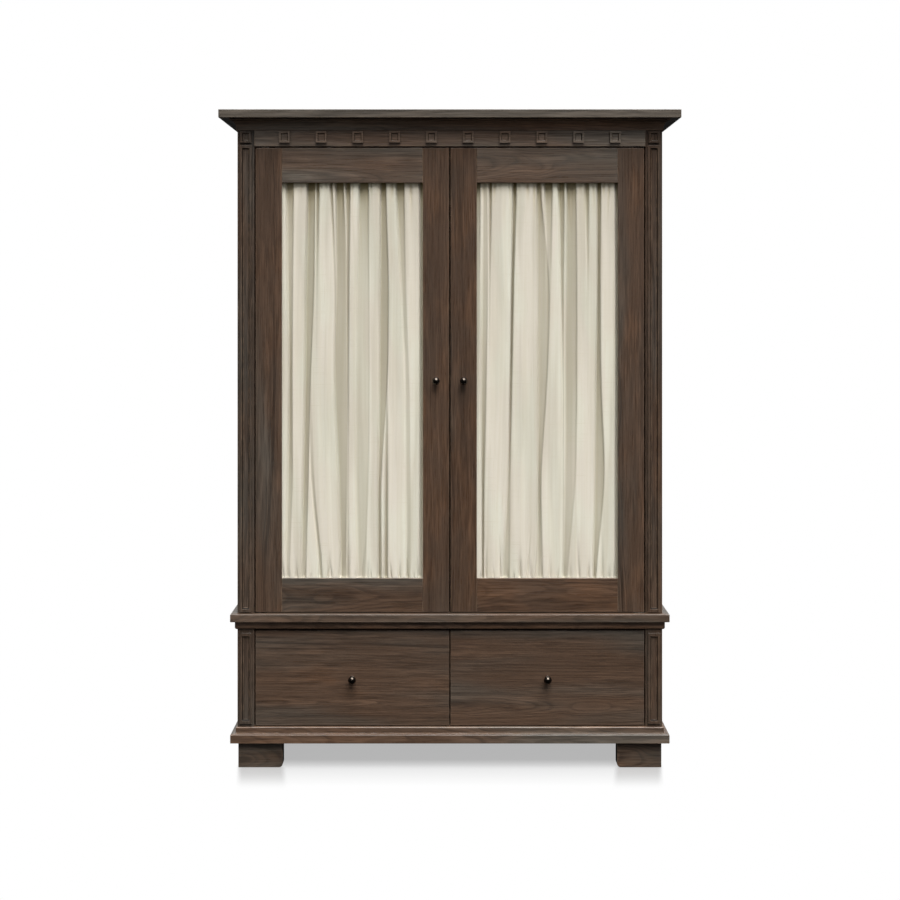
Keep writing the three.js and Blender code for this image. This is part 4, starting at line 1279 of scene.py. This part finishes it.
def thick_cloth(name, points, folds, width, along, thickness):
    """A closed sheet round rows of points, with the cloth's own places as its UV map. Stores the painted
    shade of its folds, creases and gathers ("fold")."""
    rows, columns = points.shape[:2]
    index = np.arange(rows * columns).reshape(rows, columns)
    faces = np.stack([index[:-1, :-1], index[:-1, 1:], index[1:, 1:], index[1:, :-1]], -1).reshape(-1, 4)
    mesh = bpy.data.meshes.new(name)
    mesh.from_pydata(points.reshape(-1, 3).tolist(), [], faces.tolist())
    mesh.update()
    across = np.tile(np.linspace(0, width, columns), rows)
    places = np.stack([across, np.repeat(along, columns)], 1).astype(np.float32)
    corners = np.empty(len(mesh.loops), np.int32)
    mesh.loops.foreach_get("vertex_index", corners)
    mesh.uv_layers.new(name="Cloth").data.foreach_set("uv", places[corners].ravel())
    fold = mesh.attributes.new("fold", "FLOAT_VECTOR", "POINT")
    fold.data.foreach_set("vector", folds.astype(np.float32).ravel())
    mesh.polygons.foreach_set("use_smooth", np.ones(len(mesh.polygons), bool))
    holder = linked(name, mesh)
    thick = holder.modifiers.new("Thickness", "SOLIDIFY")
    thick.thickness, thick.offset, thick.use_even_offset = thickness, 0, False
    return evaluated_copy(holder)


class ARMOIRE_OT_curtains(bpy.types.Operator):
    """Hangs a gathered linen curtain on the two rods of each door"""

    bl_idname = "armoire.curtains"
    bl_label = "Curtains"

    def execute(self, context):
        thickness = settings().linen.thickness
        for side in SIDES:
            shape = Curtain(side)
            points, folds, seams = shape.surface()
            mesh = thick_cloth(f"{side}_curtain", points, folds, shape.width, shape.along, thickness)
            body = f"{side}_door"
            piece = new_piece(f"{side}_curtain_linen", mesh, "curtain_linen", f"{body}_curtain")
            threads = [sewn(f"{side}_{ENDS[end]}_seam", points[seam], body) for end, seam in seams.items()]
        return {"FINISHED"}


def sewn(name, line, body):
    """A row of stitches along a line on the back of the cloth."""
    linen = settings().linen
    ahead = 0.0004  # along the line, to the place that a stitch points to
    thick, clear = 0.0002, 0.00005  # a stitch's radius and its gap from the cloth
    way = np.concatenate([[0], np.cumsum(np.linalg.norm(np.diff(line, axis=0), axis=1))])
    places = np.arange(linen.stitch, way[-1] - linen.stitch, linen.stitch)
    at, next_to = (
        np.stack([np.interp(places + more, way, line[:, i]) for i in range(3)], 1) for more in (0, ahead)
    )
    facing = next_to - at
    facing /= np.linalg.norm(facing, axis=1)[:, None]
    outward = np.stack([-facing[:, 1], facing[:, 0], 0 * facing[:, 0]], 1)
    at = at + outward * (linen.thickness / 2 + clear)
    half = linen.stitch * 0.42
    outline = [(0, -half), (thick * 0.8, -half * 0.8), (thick, 0), (thick * 0.8, half * 0.8), (0, half)]
    model = lathed(outline, Vector((0, 0, 0)), (0, 0, 1), 6)
    return scattered(name, at, facing, model, "curtain_linen", body, sewing_thread, spin=False)


# ---------------------------------------------------------------- studio


def lamp(name, toward, strength, angle, glossy=True):
    """A distant lamp that shines from the direction toward. A soft one makes no highlights."""
    data = bpy.data.lights.new(name, "SUN")
    data.energy, data.angle = strength, math.radians(angle)
    obj = linked(name, data)
    obj.rotation_euler = Vector(toward).to_track_quat("Z", "Y").to_euler()
    obj.visible_glossy = glossy


class ARMOIRE_OT_studio(bpy.types.Operator):
    """Sets up the pale floor, the lamps and the camera"""

    bl_idname = "armoire.studio"
    bl_label = "Studio"

    def execute(self, context):
        studio = settings().studio
        scene = context.scene
        camera = linked("Camera", bpy.data.cameras.new("Camera"))
        aside = 0.0004
        camera.location = (aside, -studio.distance, studio.height)
        camera.rotation_euler = (math.pi / 2, 0, 0)
        camera.data.lens, camera.data.sensor_width, camera.data.shift_y = studio.lens, 36, studio.shift
        scene.camera = camera

        lamp("Key", (0.16, -0.51, 0.845), studio.key, 44)
        lamp("Overhead", (0.04, -0.1, 0.99), studio.overhead, 50)
        lamp("Front", (0.1, -0.92, 0.38), studio.front, 70, glossy=False)
        lamp("Fill", (-0.75, -0.6, 0.28), studio.fill, 50, glossy=False)
        lamp("Back", (0.0, 0.9, 0.4), studio.back, 40, glossy=False)
        scene.world = self.white_room(studio.ambient)

        floor = bmesh.new()
        bmesh.ops.create_grid(floor, x_segments=8, y_segments=8, size=14)
        mesh = mesh_of(floor, "Floor")
        mesh.materials.append(self.pale_floor(studio.floor[:]))
        linked("Floor", mesh)
        scene.view_settings.view_transform = "Standard"
        return {"FINISHED"}

    @staticmethod
    def white_room(ambient):
        """White to the camera and, behind the armoire, to mirrors. It lights nothing but for the ambient."""
        world = bpy.data.worlds.new("Studio")
        world.use_nodes = True
        n = Nodes(world.node_tree)
        path = n.add("ShaderNodeLightPath").node.outputs
        _, back, up = n.parts(n.add("ShaderNodeTexCoord", out="Generated"))
        backdrop = n.product(n.ease(back, -0.15, 0.5), n.ease(up, 0.12, 0.3))
        seen = n.math("MAXIMUM", path["Is Camera Ray"], path["Is Transmission Ray"])
        seen = n.math("MAXIMUM", seen, n.product(path["Is Glossy Ray"], backdrop))
        strength = n.line(seen, 1 - ambient, ambient)
        n.fill(world.node_tree.nodes["Background"], {"Color": (1, 1, 1), "Strength": strength})
        return world

    @staticmethod
    def pale_floor(tint):
        """Paper, white away from the armoire, that keeps its shadow and mirrors the front feet a little. Its
        glow grows from under the armoire to ahead of it, which paints how pale the shadow is and how it
        fades.
        """
        material, n, shader = new_material("Pale floor")
        low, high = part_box("foot_front_left")
        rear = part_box("foot_rear_left")[1].y
        outer, inner = abs(low.x), abs(high.x)
        place = n.add("ShaderNodeTexCoord", out="Object")
        x, y, _ = n.parts(place)
        ahead = n.math("SUBTRACT", low.y, y)
        across = n.line(n.math("MAXIMUM", ahead, 0.0), 0.14, n.math("ABSOLUTE", x))
        # Painted shadow fade: the floor glows at 0.455 under the armoire and more the farther ahead of it, so
        # that its real shadow is lightened and fades out in a painted ramp.
        nearer = n.math("MULTIPLY_ADD", ahead, 2.35, 0.62, clamp=True)
        beside = n.ease(across, outer - 0.016, outer + 0.008)
        white = n.math("MAXIMUM", beside, n.math("MAXIMUM", nearer, 0.455))
        white = n.math("MAXIMUM", n.ease(y, rear, 1.4), white)

        path = n.add("ShaderNodeLightPath").node.outputs
        seen = path["Is Camera Ray"]
        grain = n.ease(n.noise(place, 35.0, 3.0), 0.3, 0.7)
        paper = n.mix(grain, tint, [c * 0.985 for c in tint])
        paper = n.mix(n.product(path["Is Glossy Ray"], 0.99), paper, (0, 0, 0))
        paper = n.mix(seen, paper, (0.25, 0.25, 0.25))
        paper = n.mix(path["Is Diffuse Ray"], paper, (0.015, 0.015, 0.015))
        n.fill(shader, {"Base Color": paper, "Roughness": 0.9, "Specular IOR Level": 0.0})
        glow = n.add("ShaderNodeEmission", {"Color": (1, 1, 1)})
        pale = n.add("ShaderNodeMixShader", {0: n.product(white, seen), 1: shader.outputs[0], 2: glow})

        within = n.ease(across, outer - 0.012, outer + 0.008, 1.0, 0.0)
        under_foot = n.product(n.ease(across, inner - 0.012, inner + 0.008), within)
        near_foot = n.product(n.ease(ahead, -0.01, 0.004), n.ease(ahead, 0.03, 0.2, 0.3, 0.0))
        mirrored = n.product(under_foot, near_foot, seen)
        gloss = n.add("ShaderNodeBsdfGlossy", {"Color": (1, 1, 1), "Roughness": 0.22})
        finish = n.add("ShaderNodeMixShader", {0: mirrored, 1: pale, 2: gloss})
        n.fill(material.node_tree.nodes["Material Output"], {"Surface": finish})
        return material


# ---------------------------------------------------------------- panel and registration

OPERATORS = (
    ARMOIRE_OT_studio,
    ARMOIRE_OT_case,
    ARMOIRE_OT_mouldings,
    ARMOIRE_OT_feet,
    ARMOIRE_OT_doors,
    ARMOIRE_OT_drawers,
    ARMOIRE_OT_knobs,
    ARMOIRE_OT_rods,
    ARMOIRE_OT_fittings,
    ARMOIRE_OT_screws,
    ARMOIRE_OT_curtains,
)


class ARMOIRE_PT_pieces(bpy.types.Panel):
    """Lists the armoire's pieces and their sizes and colours"""

    bl_idname = "ARMOIRE_PT_pieces"
    bl_label = "Armoire"
    bl_space_type = "VIEW_3D"
    bl_region_type = "UI"
    bl_category = "Armoire"

    def draw(self, context):
        for operator in OPERATORS:
            self.layout.operator(operator.bl_idname)
        for label in ArmoireSettings.__annotations__:
            box = self.layout.box()
            box.label(text=label.replace("_", " ").capitalize())
            group = getattr(context.scene.armoire, label)
            for key in type(group).__annotations__:
                box.prop(group, key)


GROUPS = (StainedOak, PlainOak, Linen, Metals, Boards, Studio, ArmoireSettings)
CLASSES = (*GROUPS, *OPERATORS, ARMOIRE_PT_pieces)


def register():
    for item in CLASSES:
        bpy.utils.register_class(item)
    bpy.types.Scene.armoire = PointerProperty(type=ArmoireSettings)


def unregister():
    del bpy.types.Scene.armoire
    for item in reversed(CLASSES):
        bpy.utils.unregister_class(item)


def main():
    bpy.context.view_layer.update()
    register()
    for operator in OPERATORS:
        group, call = operator.bl_idname.split(".")
        getattr(getattr(bpy.ops, group), call)()


if __name__ == "__main__":
    main()
